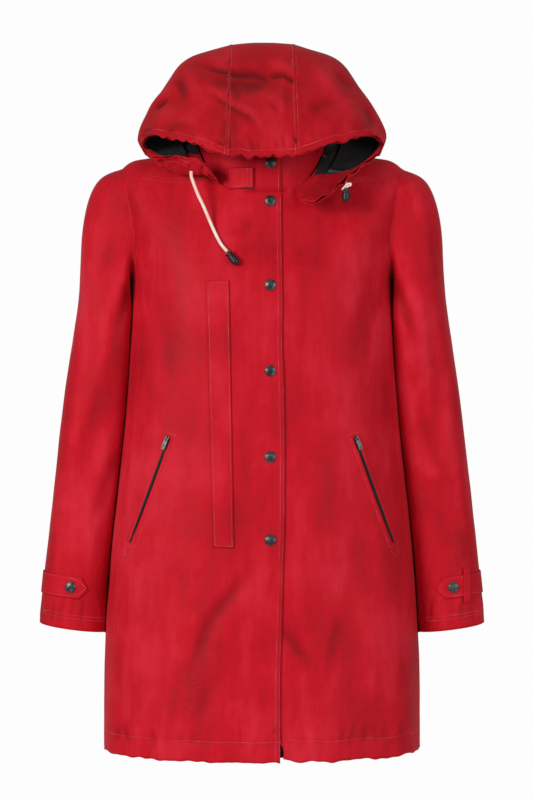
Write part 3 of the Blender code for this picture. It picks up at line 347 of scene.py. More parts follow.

# ---- fronts and back ----------------------------------------------------------
# Waxed cotton in deep red, cut as two fronts and a back that wraps over the
# shoulders.  Worn, soft and creased; its colour is lighter on the ridges, partly
# as rubbed wax and partly as painted light, and darker in the troughs as painted shade.


def solid_skin(node, heart, wall_mm=1.6, facing_out=True):
    """One face of a CAD cloth wall, as quads: the one turned from heart, or the other.

    The wall's rim goes first.  Its faces are known by edges as long as the wall is thick.
    """
    mesh = nodes[node].data.copy()
    mesh.transform(nodes[node].matrix_world)
    wall = bpy.data.objects.new("wall", mesh)
    bpy.context.scene.collection.objects.link(wall)
    select_only(wall)
    bpy.ops.object.mode_set(mode="EDIT")
    bpy.ops.mesh.select_all(action="SELECT")
    bpy.ops.mesh.remove_doubles(threshold=0.00002)
    bpy.ops.mesh.select_mode(type="FACE")
    bpy.ops.mesh.select_all(action="DESELECT")
    bpy.ops.object.mode_set(mode="OBJECT")
    places = [v.co for v in mesh.vertices]

    def crosses(key):
        return abs((places[key[0]] - places[key[1]]).length * 1000 - wall_mm) < 0.01 * wall_mm

    rim = [any(map(crosses, face.edge_keys)) for face in mesh.polygons]
    narrow = [2 * f.area < 0.0013 * wall_mm * max((places[a] - places[b]).length for a, b in f.edge_keys)
              for f in mesh.polygons]
    sides = {}
    for face in mesh.polygons:
        if not rim[face.index]:
            for key in face.edge_keys:
                sides.setdefault(key, []).append(face.index)
    group = [-1] * len(rim)
    areas, turned_away = [], []
    for start in range(len(rim)):
        if group[start] >= 0 or rim[start]:
            continue
        group[start] = len(areas)
        heap, area, away = [start], 0.0, 0.0
        while heap:
            face = mesh.polygons[heap.pop()]
            area += face.area
            away += face.area * face.normal.dot(face.center - Vector(heart(face.center)))
            for key in face.edge_keys:
                for other in sides[key]:
                    bend = face.normal.dot(mesh.polygons[other].normal)
                    if group[other] < 0 and (bend > 0.2 or not narrow[other]):
                        group[other] = group[start]
                        heap.append(other)
        areas.append(area)
        turned_away.append(away)
    pair = sorted(range(len(areas)), key=lambda g: -areas[g])[:2]
    chosen = max(pair, key=lambda g: turned_away[g] if facing_out else -turned_away[g])
    mesh.polygons.foreach_set("select", [g != chosen for g in group])
    bpy.ops.object.mode_set(mode="EDIT")
    bpy.ops.mesh.delete(type="FACE")
    bpy.ops.mesh.select_all(action="SELECT")
    bpy.ops.mesh.tris_convert_to_quads(face_threshold=1.2, shape_threshold=1.4)
    bpy.ops.mesh.select_mode(type="VERT")
    bpy.ops.object.mode_set(mode="OBJECT")
    keep_corners(mesh)
    return wall


def rim_of(mesh):
    """A mesh's open edge: for each vertex on it the next ones, each with the face at their edge."""
    beside, ends = {}, {}
    for face in mesh.polygons:
        for key in face.edge_keys:
            beside.setdefault(key, []).append(face)
    for (a, b), faces in beside.items():
        if len(faces) == 1:
            ends.setdefault(a, []).append((b, faces[0]))
            ends.setdefault(b, []).append((a, faces[0]))
    return ends


def keep_corners(mesh):
    """Creases the edge's own corners, so that subdividing leaves them sharp."""
    sharp = np.zeros(len(mesh.vertices), np.float32)
    for corner, others in rim_of(mesh).items():
        if len(others) == 2:
            here = mesh.vertices[corner].co
            one, two = [(mesh.vertices[other].co - here).normalized() for other, _ in others]
            if one.dot(two) > -0.82:
                sharp[corner] = 1.0
    mesh.attributes.new("crease_vert", "FLOAT", "POINT").data.foreach_set("value", sharp)


def keep_through_points(piece, rounds=4):
    """Moves a subdivided mesh's own points until the smooth surface passes through where they were."""
    mesh = piece.data
    count = len(mesh.vertices)
    target = np.empty(count * 3)
    mesh.vertices.foreach_get("co", target)
    held = target.copy()
    for _ in range(rounds):
        smooth = piece.evaluated_get(bpy.context.evaluated_depsgraph_get()).data
        reached = np.empty(len(smooth.vertices) * 3)
        smooth.vertices.foreach_get("co", reached)
        held += target - reached[:count * 3]
        mesh.vertices.foreach_set("co", held)
        mesh.update()


def line_heart(*places):
    """The nearest place of a vertical line through places, by height."""
    heights = [p[2] for p in places]

    def at(point):
        return [np.interp(point[2], heights, [p[k] for p in places]) for k in range(3)]
    return at


def near_lines(flat, lines):
    """For points (x, z) the distance from each line, the place along it and the side, in mm."""
    for points, width, height, skew in lines:
        points = np.array(points, float)
        legs = np.diff(points, axis=0)
        lengths = np.linalg.norm(legs, axis=1)
        starts = running_length(points)
        best = np.full(len(flat), 1e9)
        place = np.zeros(len(flat))
        sign = np.ones(len(flat))
        for start, leg, length, offset in zip(points[:-1], legs, lengths, starts):
            t = np.clip((flat - start) @ leg / length**2, 0, 1)
            gap = flat - start - t[:, None] * leg
            distance = np.linalg.norm(gap, axis=1)
            closer = distance < best
            best[closer] = distance[closer]
            place[closer] = (offset + t * length)[closer] / starts[-1]
            sign[closer] = np.sign(leg[0] * gap[:, 1] - leg[1] * gap[:, 0])[closer]
        yield best, place, sign, width, height, skew


def crease_heights(flat, lines, strength):
    """Soft ridges (+) and troughs (-), deepest before their middle and fading at their ends.

    A skewed one falls steeply on one side and softly on the other.
    """
    total = np.zeros(len(flat))
    for distance, place, sign, width, height, skew in near_lines(flat, lines):
        reach = width * (1 + skew * sign)
        taper = np.clip(np.minimum(place / 0.3, (1 - place) / 0.45), 0, 1)
        taper = 0.12 + 0.88 * taper * taper * (3 - 2 * taper)
        total += strength * height * taper * np.exp(-(distance / reach) ** 2)
    return total


def smooth_step(values, low, high):
    t = np.clip((values - low) / (high - low), 0, 1)
    return t * t * (3 - 2 * t)


def unevenness(points, size, seed):
    """Soft uneven swells of the cloth, from -1 to 1, so many mm across."""
    return np.array([noise.noise(Vector(p) * (1000 / size) + Vector((seed, 2.3 * seed, 0))) for p in points])


def shape_cloth(piece, levels, front=(), back=(), swell=((90, 0.9), (34, 0.35)), calm=(), seed=1.0,
                facing_out=True, drawn=(), gather=8.0, pull=7.0, sunk=0.0, strength=1.0):
    """Subdivides a skin and moves it along its normals by listed creases and soft swells.

    front and back are creases in x and z on the sides that face forward and backward.
    drawn is lines in x and z, puckered about every gather mm by up to pull mm, and sunk
    is how many mm deeper a lining lies.  calm is points in metres, each with the radius
    in mm that it keeps flat.
    """
    select_only(piece)
    smooth = piece.modifiers.new("smooth", "SUBSURF")
    smooth.levels = smooth.render_levels = levels
    smooth.boundary_smooth = "PRESERVE_CORNERS"
    keep_through_points(piece)
    bpy.ops.object.modifier_apply(modifier="smooth")
    mesh = piece.data
    count = len(mesh.vertices)
    points = np.empty(count * 3)
    mesh.vertices.foreach_get("co", points)
    points = points.reshape(-1, 3)
    normals = np.empty(count * 3)
    mesh.vertices.foreach_get("normal", normals)
    normals = normals.reshape(-1, 3) * (1 if facing_out else -1)
    flat = points[:, [0, 2]] * 1000
    upward = 0.5 * np.maximum(normals[:, 2], 0)
    forward = smooth_step(upward - normals[:, 1], -0.05, 0.4)
    behind = smooth_step(normals[:, 1] - upward, -0.05, 0.4)
    folds = crease_heights(flat, front, strength) * forward + crease_heights(flat, back, strength) * behind
    height = folds - sunk * (1 + 0.4 * np.abs(folds))
    for number, (size, depth) in enumerate(swell):
        height += depth * unevenness(points, size, seed + number)
    for place, radius in calm:
        height *= 1 - 0.96 * np.exp(-(np.linalg.norm(points - np.array(place), axis=1) * 1000 / radius) ** 4)
    points += normals * height[:, None] / 1000
    if drawn:
        pucker = unevenness(points * (1, 0.6, 0.4), gather, 9.0) + 0.5 * unevenness(points, 2 * gather, 4.0)
        reach = np.min([near[0] for near in near_lines(flat, [(line, 1.0, 1.0, 0.0) for line in drawn])], axis=0)
        shift = np.exp(-(reach / 7.0) ** 2) * pucker * pull / 1000
        points[:, 2] += shift * ((points[:, 1] < -0.045) | (points[:, 2] < -0.5))
    mesh.vertices.foreach_set("co", points.ravel())
    # Crease heights, which the cloth's colour reads to paint shade into troughs and light onto ridges.
    crease_layer = mesh.attributes.new("crease", "FLOAT", "POINT")
    crease_layer.data.foreach_set("value", height.astype(np.float32))
    mesh.update()
    mesh.shade_smooth()


def give_wall(piece, thickness):
    """Thickens a skin inward, so that its outer face stays where it is."""
    wall = piece.modifiers.new("wall", "SOLIDIFY")
    wall.thickness = thickness / 1000
    wall.offset = -1.0
    wall.use_quality_normals = True
    wall.material_offset = 1


# The cloth's lighter ridge colour is partly rubbed wax and partly painted light; its troughs get painted shade.
def waxed_cloth(name, base, worn_and_lit, deep, bump_depth):
    """Waxed cotton: a close plain weave under matt wax, with fine crackle where it has folded."""
    material, tree, shader = new_material(name, base, 0.62)
    shader.inputs["Sheen Weight"].default_value = 0.04
    shader.inputs["Sheen Roughness"].default_value = 0.45
    shader.inputs["Specular IOR Level"].default_value = 0.13
    spot = add_node(tree, "ShaderNodeTexCoord").outputs["Object"]
    cloud = object_noise(tree, 7.0, 4.0, Roughness=0.6)
    stretched = add_node(tree, "ShaderNodeMapping", inputs={"Scale": (30.0, 30.0, 7.0)},
                         links={"Vector": spot}).outputs["Vector"]
    streak = add_node(tree, "ShaderNodeTexNoise", inputs={"Scale": 1.0, "Detail": 5.0, "Roughness": 0.65},
                      links={"Vector": stretched}).outputs["Fac"]
    crackle = object_noise(tree, 110.0, 5.0, Roughness=0.7)
    crumple = object_noise(tree, 32.0, 3.0, Roughness=0.55, Distortion=0.6)
    crease = add_node(tree, "ShaderNodeAttribute", settings={"attribute_name": "crease"}).outputs["Fac"]

    def maths(operation, links, inputs=None):
        return add_node(tree, "ShaderNodeMath", {"operation": operation}, inputs, links).outputs[0]

    wear_and_shade = maths("MULTIPLY_ADD", {0: crease, 2: maths("ADD", {0: cloud, 1: streak})}, {1: 0.075})
    halved = maths("MULTIPLY", {0: wear_and_shade}, {1: 0.5})
    # Painted shade and light from crease height: troughs go to the deep red and ridges to the lighter red, partly as
    # rubbed wax, and the multiply below darkens deep troughs further as painted shade.
    depth = mapped(tree, crease, {"From Min": -7.0, "From Max": 3.0})
    shade = add_node(tree, "ShaderNodeMix", settings={"data_type": "RGBA", "blend_type": "MULTIPLY"},
                     inputs={0: 1.0},
                     links={6: ramp(tree, halved, [(0.34, deep), (0.5, base), (0.68, worn_and_lit)]),
                            7: ramp(tree, depth, [(0.0, "#8C8C8C"), (0.42, "#E2E2E2"), (0.66, "#FAFAFA"),
                                                  (0.8, "#FFFFFF")])})
    # Painted shade: from the neck upward the cloth is multiplied to a deeper red, so the hood is darker than the body.
    level = add_node(tree, "ShaderNodeSeparateXYZ", links={"Vector": spot}).outputs["Z"]
    hood_shade_share = mapped(tree, level, {"From Min": -0.07, "From Max": 0.03})
    hood_shaded = add_node(tree, "ShaderNodeMix", settings={"data_type": "RGBA", "blend_type": "MULTIPLY"},
                      inputs={7: linear("#E4B4BE")}, links={0: hood_shade_share, 6: shade.outputs[2]})
    tree.links.new(hood_shaded.outputs[2], shader.inputs["Base Color"])
    rough = mapped(tree, streak, {"From Min": 0.3, "From Max": 0.7, "To Min": 0.52, "To Max": 0.72})
    tree.links.new(rough, shader.inputs["Roughness"])
    # The weave is about 0.5 mm a thread, drawn at 1.2 mm so that it shows.
    weave = [add_node(tree, "ShaderNodeTexWave", settings={"bands_direction": way, "wave_profile": "SIN"},
                      inputs={"Scale": 262.0, "Distortion": 0.6, "Detail": 1.0},
                      links={"Vector": spot}).outputs["Fac"] for way in ("X", "Z")]
    threads = maths("MULTIPLY", {0: weave[0], 1: weave[1]})
    woven = bumped(tree, threads, 0.25, 0.00025)
    crackled = bumped(tree, crackle, 0.35, 0.0005, woven)
    tree.links.new(bumped(tree, crumple, 0.8, bump_depth, crackled), shader.inputs["Normal"])
    return material


red_cloth = waxed_cloth("waxed_cotton_red", "#C60A20", "#D8263A", "#AA0618", 0.0024)

# Black cotton twill lining: soft, matt, with a fine diagonal.
twill, tree, shader = new_material("cotton_twill_black", "#0D0F15", 0.85)
shader.inputs["Specular IOR Level"].default_value = 0.15
shader.inputs["Sheen Weight"].default_value = 0.15
spot = add_node(tree, "ShaderNodeTexCoord").outputs["Object"]
slant = add_node(tree, "ShaderNodeMapping", inputs={"Rotation": (0.4, 0.75, 0.3)},
                 links={"Vector": spot}).outputs["Vector"]
diagonal = add_node(tree, "ShaderNodeTexWave", inputs={"Scale": 220.0, "Distortion": 0.4}, links={"Vector": slant})
set_colour(tree, shader, object_noise(tree, 24.0, 4.0), [(0.3, "#101114"), (0.7, "#1F2126")])
set_bump(tree, shader, diagonal.outputs["Fac"], 0.4, 0.0003)


def cloth_piece(node, heart, levels, wall_mm=1.6, lining=twill, facing_out=True, finish="waxed_cotton", **shape):
    """A piece of cloth in place of its CAD wall, creased and ready for its stitches."""
    piece = solid_skin(node, heart, wall_mm, facing_out)
    piece.name = piece.data.name = f"cloth_{node}"
    shape_cloth(piece, levels, facing_out=facing_out, **shape)
    piece.data.materials.clear()
    piece.data.materials.append(red_cloth)
    piece.data.materials.append(lining)
    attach(piece, "coat")
    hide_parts(node)
    return piece


BODY_HEART = line_heart((0, 0, -0.9), (0, 0, -0.05))
# Creases as ((x, z) points), width, height and skew, in mm, as seen from the front.
FRONT_CREASES = [
    (((-12, -585), (-40, -625), (-72, -664), (-86, -700), (-100, -735), (-118, -765)), 9, -2.6, 0.3),
    (((-2, -600), (-30, -650), (-60, -690), (-72, -740)), 12, 1.1, 0.0),
    (((-88, -655), (-96, -668), (-84, -676)), 5, 1.6, 0.0),
    (((-110, -650), (-128, -700), (-132, -752)), 16, 1.0, 0.2),
    (((-150, -590), (-160, -660), (-163, -730)), 18, -1.1, 0.0),
    (((-60, -735), (-78, -780), (-82, -812)), 10, -1.6, 0.0),
    (((-45, -700), (-62, -752), (-70, -800)), 12, 0.8, 0.0),
    (((-10, -690), (-34, -745), (-40, -800)), 12, -0.7, 0.2),
    (((-160, -180), (-140, -240), (-128, -320), (-126, -380)), 16, -1.0, 0.0),
    (((-172, -205), (-158, -262), (-148, -330)), 9, 1.5, 0.3),
    (((-120, -150), (-112, -215), (-108, -290)), 15, 0.7, 0.0),
    (((-96, -330), (-100, -400), (-112, -470)), 14, -0.8, 0.0),
    (((-70, -600), (-110, -612), (-150, -600)), 12, -0.5, 0.0),
    (((-8, -108), (-30, -128), (-62, -128)), 8, -1.2, 0.0),
    (((-22, -216), (-38, -232), (-52, -226)), 7, -1.0, 0.2),
    (((-28, -390), (-48, -420), (-40, -452)), 9, -1.0, 0.0),
    (((30, -590), (46, -640), (40, -700)), 14, 0.8, 0.0),
    (((22, -660), (34, -690), (60, -720), (76, -757)), 8, -2.2, 0.3),
    (((110, -655), (96, -712), (84, -760)), 9, -1.8, 0.2),
    (((126, -640), (150, -690), (152, -750)), 16, 0.9, 0.0),
    (((60, -590), (66, -660), (92, -690)), 14, -0.7, 0.0),
    (((150, -590), (166, -660), (170, -730)), 16, -0.9, 0.0),
    (((40, -130), (62, -175), (70, -240)), 14, -0.8, 0.0),
    (((96, -118), (98, -170), (92, -230)), 12, 0.7, 0.0),
    (((165, -190), (142, -260), (130, -340)), 15, -1.0, 0.0),
    (((176, -212), (160, -280), (150, -350)), 9, 1.4, 0.3),
    (((40, -300), (52, -370), (46, -450)), 16, -0.6, 0.0),
    (((100, -300), (104, -370), (118, -420)), 15, 0.7, 0.0),
    (((60, -420), (92, -450), (104, -500)), 12, -0.6, 0.0),
]
BACK_CREASES = [
    (((-150, -190), (-110, -260), (-84, -360)), 16, -2.2, 0.2),
    (((150, -200), (118, -250), (88, -330)), 14, -2.0, 0.0),
    (((-40, -40), (-10, -55), (34, -44)), 12, -1.6, 0.0),
    (((-60, -420), (-66, -520), (-90, -610)), 18, 1.8, 0.0),
    (((40, -480), (54, -590), (48, -700)), 18, -1.8, 0.0),
    (((-20, -600), (-30, -700), (-16, -790)), 16, 1.8, 0.2),
    (((110, -560), (124, -660), (120, -770)), 18, 1.9, 0.0),
    (((-130, -600), (-140, -690), (-132, -780)), 16, -1.7, 0.0),
    (((80, -140), (40, -210), (10, -240)), 14, 1.3, 0.0),
    (((-90, -640), (-60, -700), (-64, -760)), 10, -1.6, 0.3),
]


def gathers(seed, start, end, spacing, length, width, depth, lean=0.25):
    """Short uneven puckers along a stitched line from start to end, in x and z."""
    spread = np.random.default_rng(seed)
    start, end = np.array(start, float), np.array(end, float)
    run = np.linalg.norm(end - start)
    along = (end - start) / run
    across = np.array((-along[1], along[0]))
    place = spread.uniform(0, spacing)
    found = []
    while place < run:
        here = start + along * place
        reach = length * spread.uniform(0.45, 1.25)
        slope = along * reach * spread.uniform(-lean, lean)
        found.append(((tuple(here - across * reach * 0.35 - slope * 0.35),
                       tuple(here + across * reach * 0.65 + slope)),
                      width * spread.uniform(0.7, 1.4), depth * spread.uniform(-1.1, 0.8), 0.0))
        place += spacing * spread.uniform(0.5, 1.6)
    return found


HEM_STITCH_Z = -834.0
HEM_LINE = ((-240, -862), (240, -862))
hem_front = (gathers(3, (-205, HEM_STITCH_Z), (22, HEM_STITCH_Z), 15, 38, 3.2, 2.4)
             + gathers(4, (24, HEM_STITCH_Z), (205, HEM_STITCH_Z + 6), 13, 38, 3.2, 2.6)
             + [(((-215, HEM_STITCH_Z), (22, HEM_STITCH_Z)), 2.6, -0.7, 0.0),
                (((24, HEM_STITCH_Z), (215, HEM_STITCH_Z)), 2.6, -0.7, 0.0)])
hem_back = gathers(5, (-205, HEM_STITCH_Z), (205, HEM_STITCH_Z), 16, 38, 3.4, 2.3) + [
    (((-215, HEM_STITCH_Z), (215, HEM_STITCH_Z)), 2.6, -0.7, 0.0)]


def calm_places():
    """Where hard pieces sit on the cloth, which stays flat under them."""
    places = []
    for node, radius in [(f"front_snap_{n}", 14) for n in range(1, 7)] + [
            ("zip_slider_right", 14), ("zip_slider_left", 14), ("toggle_right", 16), ("cord_ring_right", 12),
            ("cuff_snap_right", 13), ("cuff_snap_left", 13)]:
        low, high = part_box(node)
        places.append(((np.array(low) + np.array(high)) / 2, radius))
    return places


ZIP_TOP, ZIP_BOTTOM = (129, -414), (183, -562)      # the left zip's ends in x and z, in mm


def zip_ends(side):
    """The ends of a pocket's zip in x and z, in mm."""
    return [np.array((x * side, z), float) for x, z in (ZIP_TOP, ZIP_BOTTOM)]


def zip_line(side):
    """Points down a pocket's zip, from its CAD tape."""
    hand = "right" if side < 0 else "left"
    solid = nodes[f"pocket_zip_{hand}"]
    tape = np.array([solid.matrix_world @ v.co for v in solid.data.vertices])
    top, bottom = [end / 1000 for end in zip_ends(side)]
    points = []
    for share in np.linspace(0, 1, 10):
        flat = top + (bottom - top) * share
        near = np.argsort(np.linalg.norm(tape[:, [0, 2]] - flat, axis=1))[:4]
        points.append(np.array((flat[0], tape[near, 1].min(), flat[1])))
    return points


calm = calm_places() + [(point, 12) for side in (-1, 1) for point in zip_line(side)]
cloth = {}
for node in ("front_right", "front_left", "back"):
    cloth[node] = cloth_piece(node, BODY_HEART, 3, front=FRONT_CREASES + hem_front, back=BACK_CREASES + hem_back,
                              calm=calm, drawn=(HEM_LINE,), gather=15.0, pull=3.4)
# The right front's edge bows out at the waist, in mm by height from hem to neck.  At
# the hem the left front's corner curls, so that its black lining shows beside it.
BOW_Z = (-0.862, -0.749, -0.666, -0.583, -0.542, -0.418, -0.335, -0.293, -0.211, -0.086)
BOW = (3.4, 3.0, 5.0, 7.0, 8.2, 8.2, 6.6, 4.2, 4.0, 0.5)
for vertex in cloth["front_right"].data.vertices:
    x, y, z = vertex.co
    if y < -0.05 and x > -0.012:
        vertex.co.x += float(np.interp(z, BOW_Z, BOW)) / 1000 * smooth_step(x, -0.012, 0.021)


def cloth_tree(node):
    mesh = cloth[node].data
    return BVHTree.FromPolygons([v.co for v in mesh.vertices], [f.vertices for f in mesh.polygons])


left_front, left_tree = cloth["front_left"].data, cloth_tree("front_left")
COLUMNS, ROWS = 12, 14
columns, rows = np.linspace(-0.008, 0.036, COLUMNS), np.linspace(-0.775, -0.856, ROWS)
corner = [left_tree.find_nearest(Vector((x, -0.15, z)))[0] + Vector((0, 0.003, 0)) for z in rows for x in columns]
corner_faces = [(i, i + 1, i + COLUMNS + 1, i + COLUMNS)
                for i in range((ROWS - 1) * COLUMNS) if i % COLUMNS < COLUMNS - 1]
finished("front_left_corner_lining", mesh_of("front_left_corner_lining", corner, corner_faces), twill)
for vertex in left_front.vertices:
    x, y, z = vertex.co
    if y < -0.05 and x < 0.05 and z < -0.77:
        turned_up = smooth_step(-z, 0.795, 0.845)
        edge = 0.0325 + 0.0012 * math.sin(z * 160)
        if x < edge:
            vertex.co.x = x + (edge - x) * turned_up * 0.93
        vertex.co.z += 0.005 * smooth_step(-z, 0.83, 0.862) * smooth_step(-x, -0.045, -0.028)

# ---- sleeves ------------------------------------------------------------------
# Each sleeve is two halves of the same red cloth, joined over and under the arm
# and sewn into the armhole.  Creases fan out from the armpit and run down the arm.


def sleeve_heart(side):
    return line_heart((0.272 * side, 0, -0.681), (0.2475 * side, 0.008, -0.473), (0.222 * side, 0.01, -0.236),
                      (0.205 * side, 0.005, -0.12), (0.19 * side, 0.002, -0.06))


SLEEVE_FRONT = {1: [
    (((186, -178), (198, -225), (214, -262), (226, -300)), 9, -3.0, 0.3),
    (((188, -160), (212, -206), (232, -262), (238, -330)), 10, 2.0, 0.0),
    (((200, -118), (222, -166), (242, -232)), 13, -1.1, 0.2),
    (((240, -250), (252, -330), (246, -410), (238, -470)), 11, -1.4, 0.2),
    (((262, -300), (266, -380), (258, -440)), 12, 1.2, 0.0),
    (((222, -360), (236, -420), (258, -470), (270, -500)), 10, -1.5, 0.3),
    (((214, -440), (240, -468), (268, -470)), 9, 1.6, 0.0),
    (((250, -500), (262, -556), (258, -600)), 12, -1.0, 0.0),
    (((228, -520), (236, -570), (232, -620)), 11, 0.8, 0.0),
    (((284, -540), (292, -580), (286, -606)), 8, -1.4, 0.0)],
    -1: [
    (((-184, -182), (-196, -232), (-212, -280)), 9, -2.8, -0.3),
    (((-190, -150), (-206, -210), (-226, -272), (-232, -340)), 11, 1.6, 0.0),
    (((-204, -110), (-226, -180), (-246, -250)), 13, -1.1, 0.2),
    (((-216, -300), (-236, -372), (-262, -440), (-276, -492)), 12, -1.6, 0.3),
    (((-206, -360), (-224, -430), (-250, -500)), 11, 1.3, 0.0),
    (((-204, -420), (-218, -476), (-240, -530), (-256, -560)), 9, -2.0, -0.2),
    (((-262, -330), (-268, -400), (-276, -450)), 11, 1.1, 0.0),
    (((-224, -530), (-232, -575), (-228, -620)), 11, -0.8, 0.0),
    (((-270, -530), (-278, -570), (-272, -604)), 10, 1.0, 0.0)]}
SLEEVE_BACK = [
    (((188, -190), (214, -240), (240, -270)), 12, -1.7, 0.2),
    (((198, -230), (226, -300), (262, -340)), 12, 1.3, 0.0),
    (((212, -330), (240, -372), (272, -380)), 10, -2.0, 0.0),
    (((214, -372), (246, -410), (276, -408)), 11, 1.3, 0.0),
    (((236, -440), (248, -510), (244, -570)), 13, -1.1, 0.0),
    (((276, -480), (282, -550), (276, -610)), 12, 1.0, 0.0),
    (((206, -120), (226, -176), (240, -220)), 12, 1.0, 0.0)]
CUFF_STITCH_Z, CUFF_DROP = -664.0, 0.01
for side, hand, seed in ((1, "left", 11), (-1, "right", 12)):
    behind = [(tuple((x * side, z) for x, z in points), w, h, s) for points, w, h, s in SLEEVE_BACK]
    ends = sorted((side * 212, side * 330))
    cuff = gathers(seed, (ends[0], CUFF_STITCH_Z), (ends[1], CUFF_STITCH_Z), 11, 34, 3.0, 1.9)
    for half in ("front", "back"):
        node = f"sleeve_{hand}_{half}"
        cloth[node] = cloth_piece(node, sleeve_heart(side), 3, front=SLEEVE_FRONT[side] + cuff,
                                  back=behind + cuff, calm=calm, seed=2.0 + side)
        # The turned-up cuff ends lower than the hard part's.
        for vertex in cloth[node].data.vertices:
            vertex.co.z -= CUFF_DROP * smooth_step(-vertex.co.z, 0.648, 0.682)

# ---- hood ---------------------------------------------------------------------
# Two sides and a centre strip of the red cloth, with a red facing round the face
# opening and a black lining behind it.  The drawcord's casing gathers the edge.
HOOD_HEART = line_heart((0, -0.01, -0.1), (0, -0.01, 0.05), (0, -0.01, 0.051))
HOOD_CREASES = [
    (((-84, 82), (-66, 67), (-47, 54), (-29, 43), (-16, 38), (-5, 28), (0, 15), (8, 4)), 4.5, 2.4, 0.4),
    (((-78, 72), (-60, 58), (-42, 45), (-24, 34), (-12, 24), (-6, 10)), 5, -1.8, 0.2),
    (((-92, 113), (-62, 103), (-35, 97), (-9, 96), (3, 93), (5, 118)), 5.5, -2.6, 0.35),
    (((-84, 122), (-56, 112), (-30, 106), (-8, 107)), 6, 1.6, 0.2),
    (((-84, 90), (-40, 82), (-14, 78), (6, 84), (40, 80)), 12, -1.7, 0.0),
    (((6, 92), (30, 97), (42, 86), (57, 76)), 5, -2.4, 0.3),
    (((8, 118), (26, 110), (44, 100), (64, 88)), 7, 1.8, 0.0),
    (((9, 52), (18, 43), (24, 31)), 4, -1.2, 0.2),
    (((22, 62), (30, 46), (28, 30)), 5, 1.0, 0.0),
    (((34, 82), (38, 60), (34, 38)), 6, -1.0, 0.0),
    (((-44, 84), (-34, 66), (-36, 44)), 5, -1.0, 0.0),
    (((-110, 112), (-100, 92), (-92, 66), (-98, 44)), 9, 1.8, 0.0),
    (((-122, 100), (-114, 78), (-104, 56)), 8, -1.8, 0.2),
    (((-152, 50), (-142, 58), (-130, 66)), 4.5, -3.0, 0.3),
    (((-150, 60), (-134, 70), (-122, 86)), 6, 1.6, 0.3),
    (((-158, 30), (-130, 38), (-104, 30), (-80, 20)), 10, 1.6, 0.0),
    (((-140, 18), (-110, 26), (-84, 8)), 9, -1.2, 0.0),
    (((70, 108), (90, 92), (104, 66)), 9, 1.6, 0.0),
    (((104, 108), (116, 88), (138, 72)), 8, -1.5, 0.2),
    (((64, 36), (88, 54), (112, 50)), 10, -1.3, 0.0),
    (((112, 64), (128, 40), (134, 20)), 10, 1.4, 0.0),
    (((146, 56), (154, 32), (150, 12)), 7, -1.5, 0.0),
    (((-56, -4), (-50, 14), (-48, 34)), 5, -1.2, 0.0),
    (((-30, -6), (-22, 12), (-26, 28)), 5, 1.0, 0.2),
]
BRIM = ((-172, 0), (-160, 19), (-146, 20), (-115, 10), (-85, -1), (-57, -8), (-22, -12), (2, -13), (25, -10),
        (48, -4), (74, 1), (95, 11), (118, 16), (142, 15), (160, 0))
BRIM_EDGE = ((-167, -8), (-158, 1), (-137, 2), (-111, -5), (-84, -12), (-49, -23), (-14, -27), (24, -26), (53, -23),
             (85, -11), (109, -3), (138, 2), (158, 1))
LOBES = (((-168, -8), (-155, -27), (-128, -31), (-99, -30), (-73, -47), (-61, -70)),
         ((172, -12), (158, -30), (129, -50), (97, -71), (65, -90), (50, -77)))
brim_gathers = []
for number, (start, end) in enumerate(zip(BRIM[:-1], BRIM[1:])):
    brim_gathers += gathers(20 + number, start, end, 6.5, 17, 2.6, 1.5, 0.3)
HOOD_BACK = [
    (((-90, 40), (-50, 70), (0, 64)), 14, -1.3, 0.2),
    (((90, 30), (60, 80), (30, 110)), 14, 1.2, 0.0),
    (((-20, 20), (6, 40), (60, 36)), 12, -1.1, 0.0),
    (((-110, 60), (-90, 100), (-60, 120)), 12, 1.0, 0.0),
]
HOOD_SHAPE = {"front": HOOD_CREASES + brim_gathers, "back": HOOD_BACK, "swell": ((60, 1.0), (26, 0.45)),
              "seed": 5.0, "drawn": (BRIM_EDGE,) + LOBES, "strength": 2.0}
for node in ("hood_side_right", "hood_side_left", "hood_centre"):
    cloth[node] = cloth_piece(node, HOOD_HEART, 3, lining=red_cloth, **HOOD_SHAPE)
for node, lining, finish in (("hood_facing", red_cloth, "waxed_cotton"), ("hood_lining", twill, "lining_twill")):
    cloth[node] = cloth_piece(node, HOOD_HEART, 2, 1.0, lining, False, finish, sunk=0.8, **HOOD_SHAPE)
cloth["hood_lining"].data.materials[0] = twill


def lap_lining(node, outline, outer):
    """Gives a piece, inside an outline in x and z in mm, a black inner side and another outer one."""
    mesh = cloth[node].data
    for material in (outer, twill):
        mesh.materials.append(material)
    sides = list(zip(outline, outline[1:] + outline[:1]))
    shape = bmesh.new()
    shape.from_mesh(mesh)
    for (x0, z0), (x1, z1) in sides:
        bmesh.ops.bisect_plane(shape, geom=list(shape.verts) + list(shape.edges) + list(shape.faces), dist=1e-6,
                               plane_co=(x0 / 1000, 0, z0 / 1000), plane_no=(z0 - z1, 0, x1 - x0))
    shape.to_mesh(mesh)
    shape.free()
    for face in mesh.polygons:
        x, _, z = face.center * 1000
        if all((x1 - x0) * (z - z0) - (z1 - z0) * (x - x0) > 0 for (x0, z0), (x1, z1) in sides):
            face.material_index = 2
    mesh.shade_smooth()


# Low on both sides the black lining laps over the hood's own wall, and on the left
# over the facing too.
lap_lining("hood_facing", ((86, -6), (74, -48), (96, -45), (119, -41), (137, -22), (152, -6)), twill)
lap_lining("hood_side_left", ((88, -5), (74, -46), (96, -43), (119, -38), (137, -20), (152, 0), (120, 20), (95, 10)),
           red_cloth)
lap_lining("hood_side_right", ((-116, 12), (-116, -10), (-100, -12), (-87, -13), (-84, 4), (-90, 12)), red_cloth)

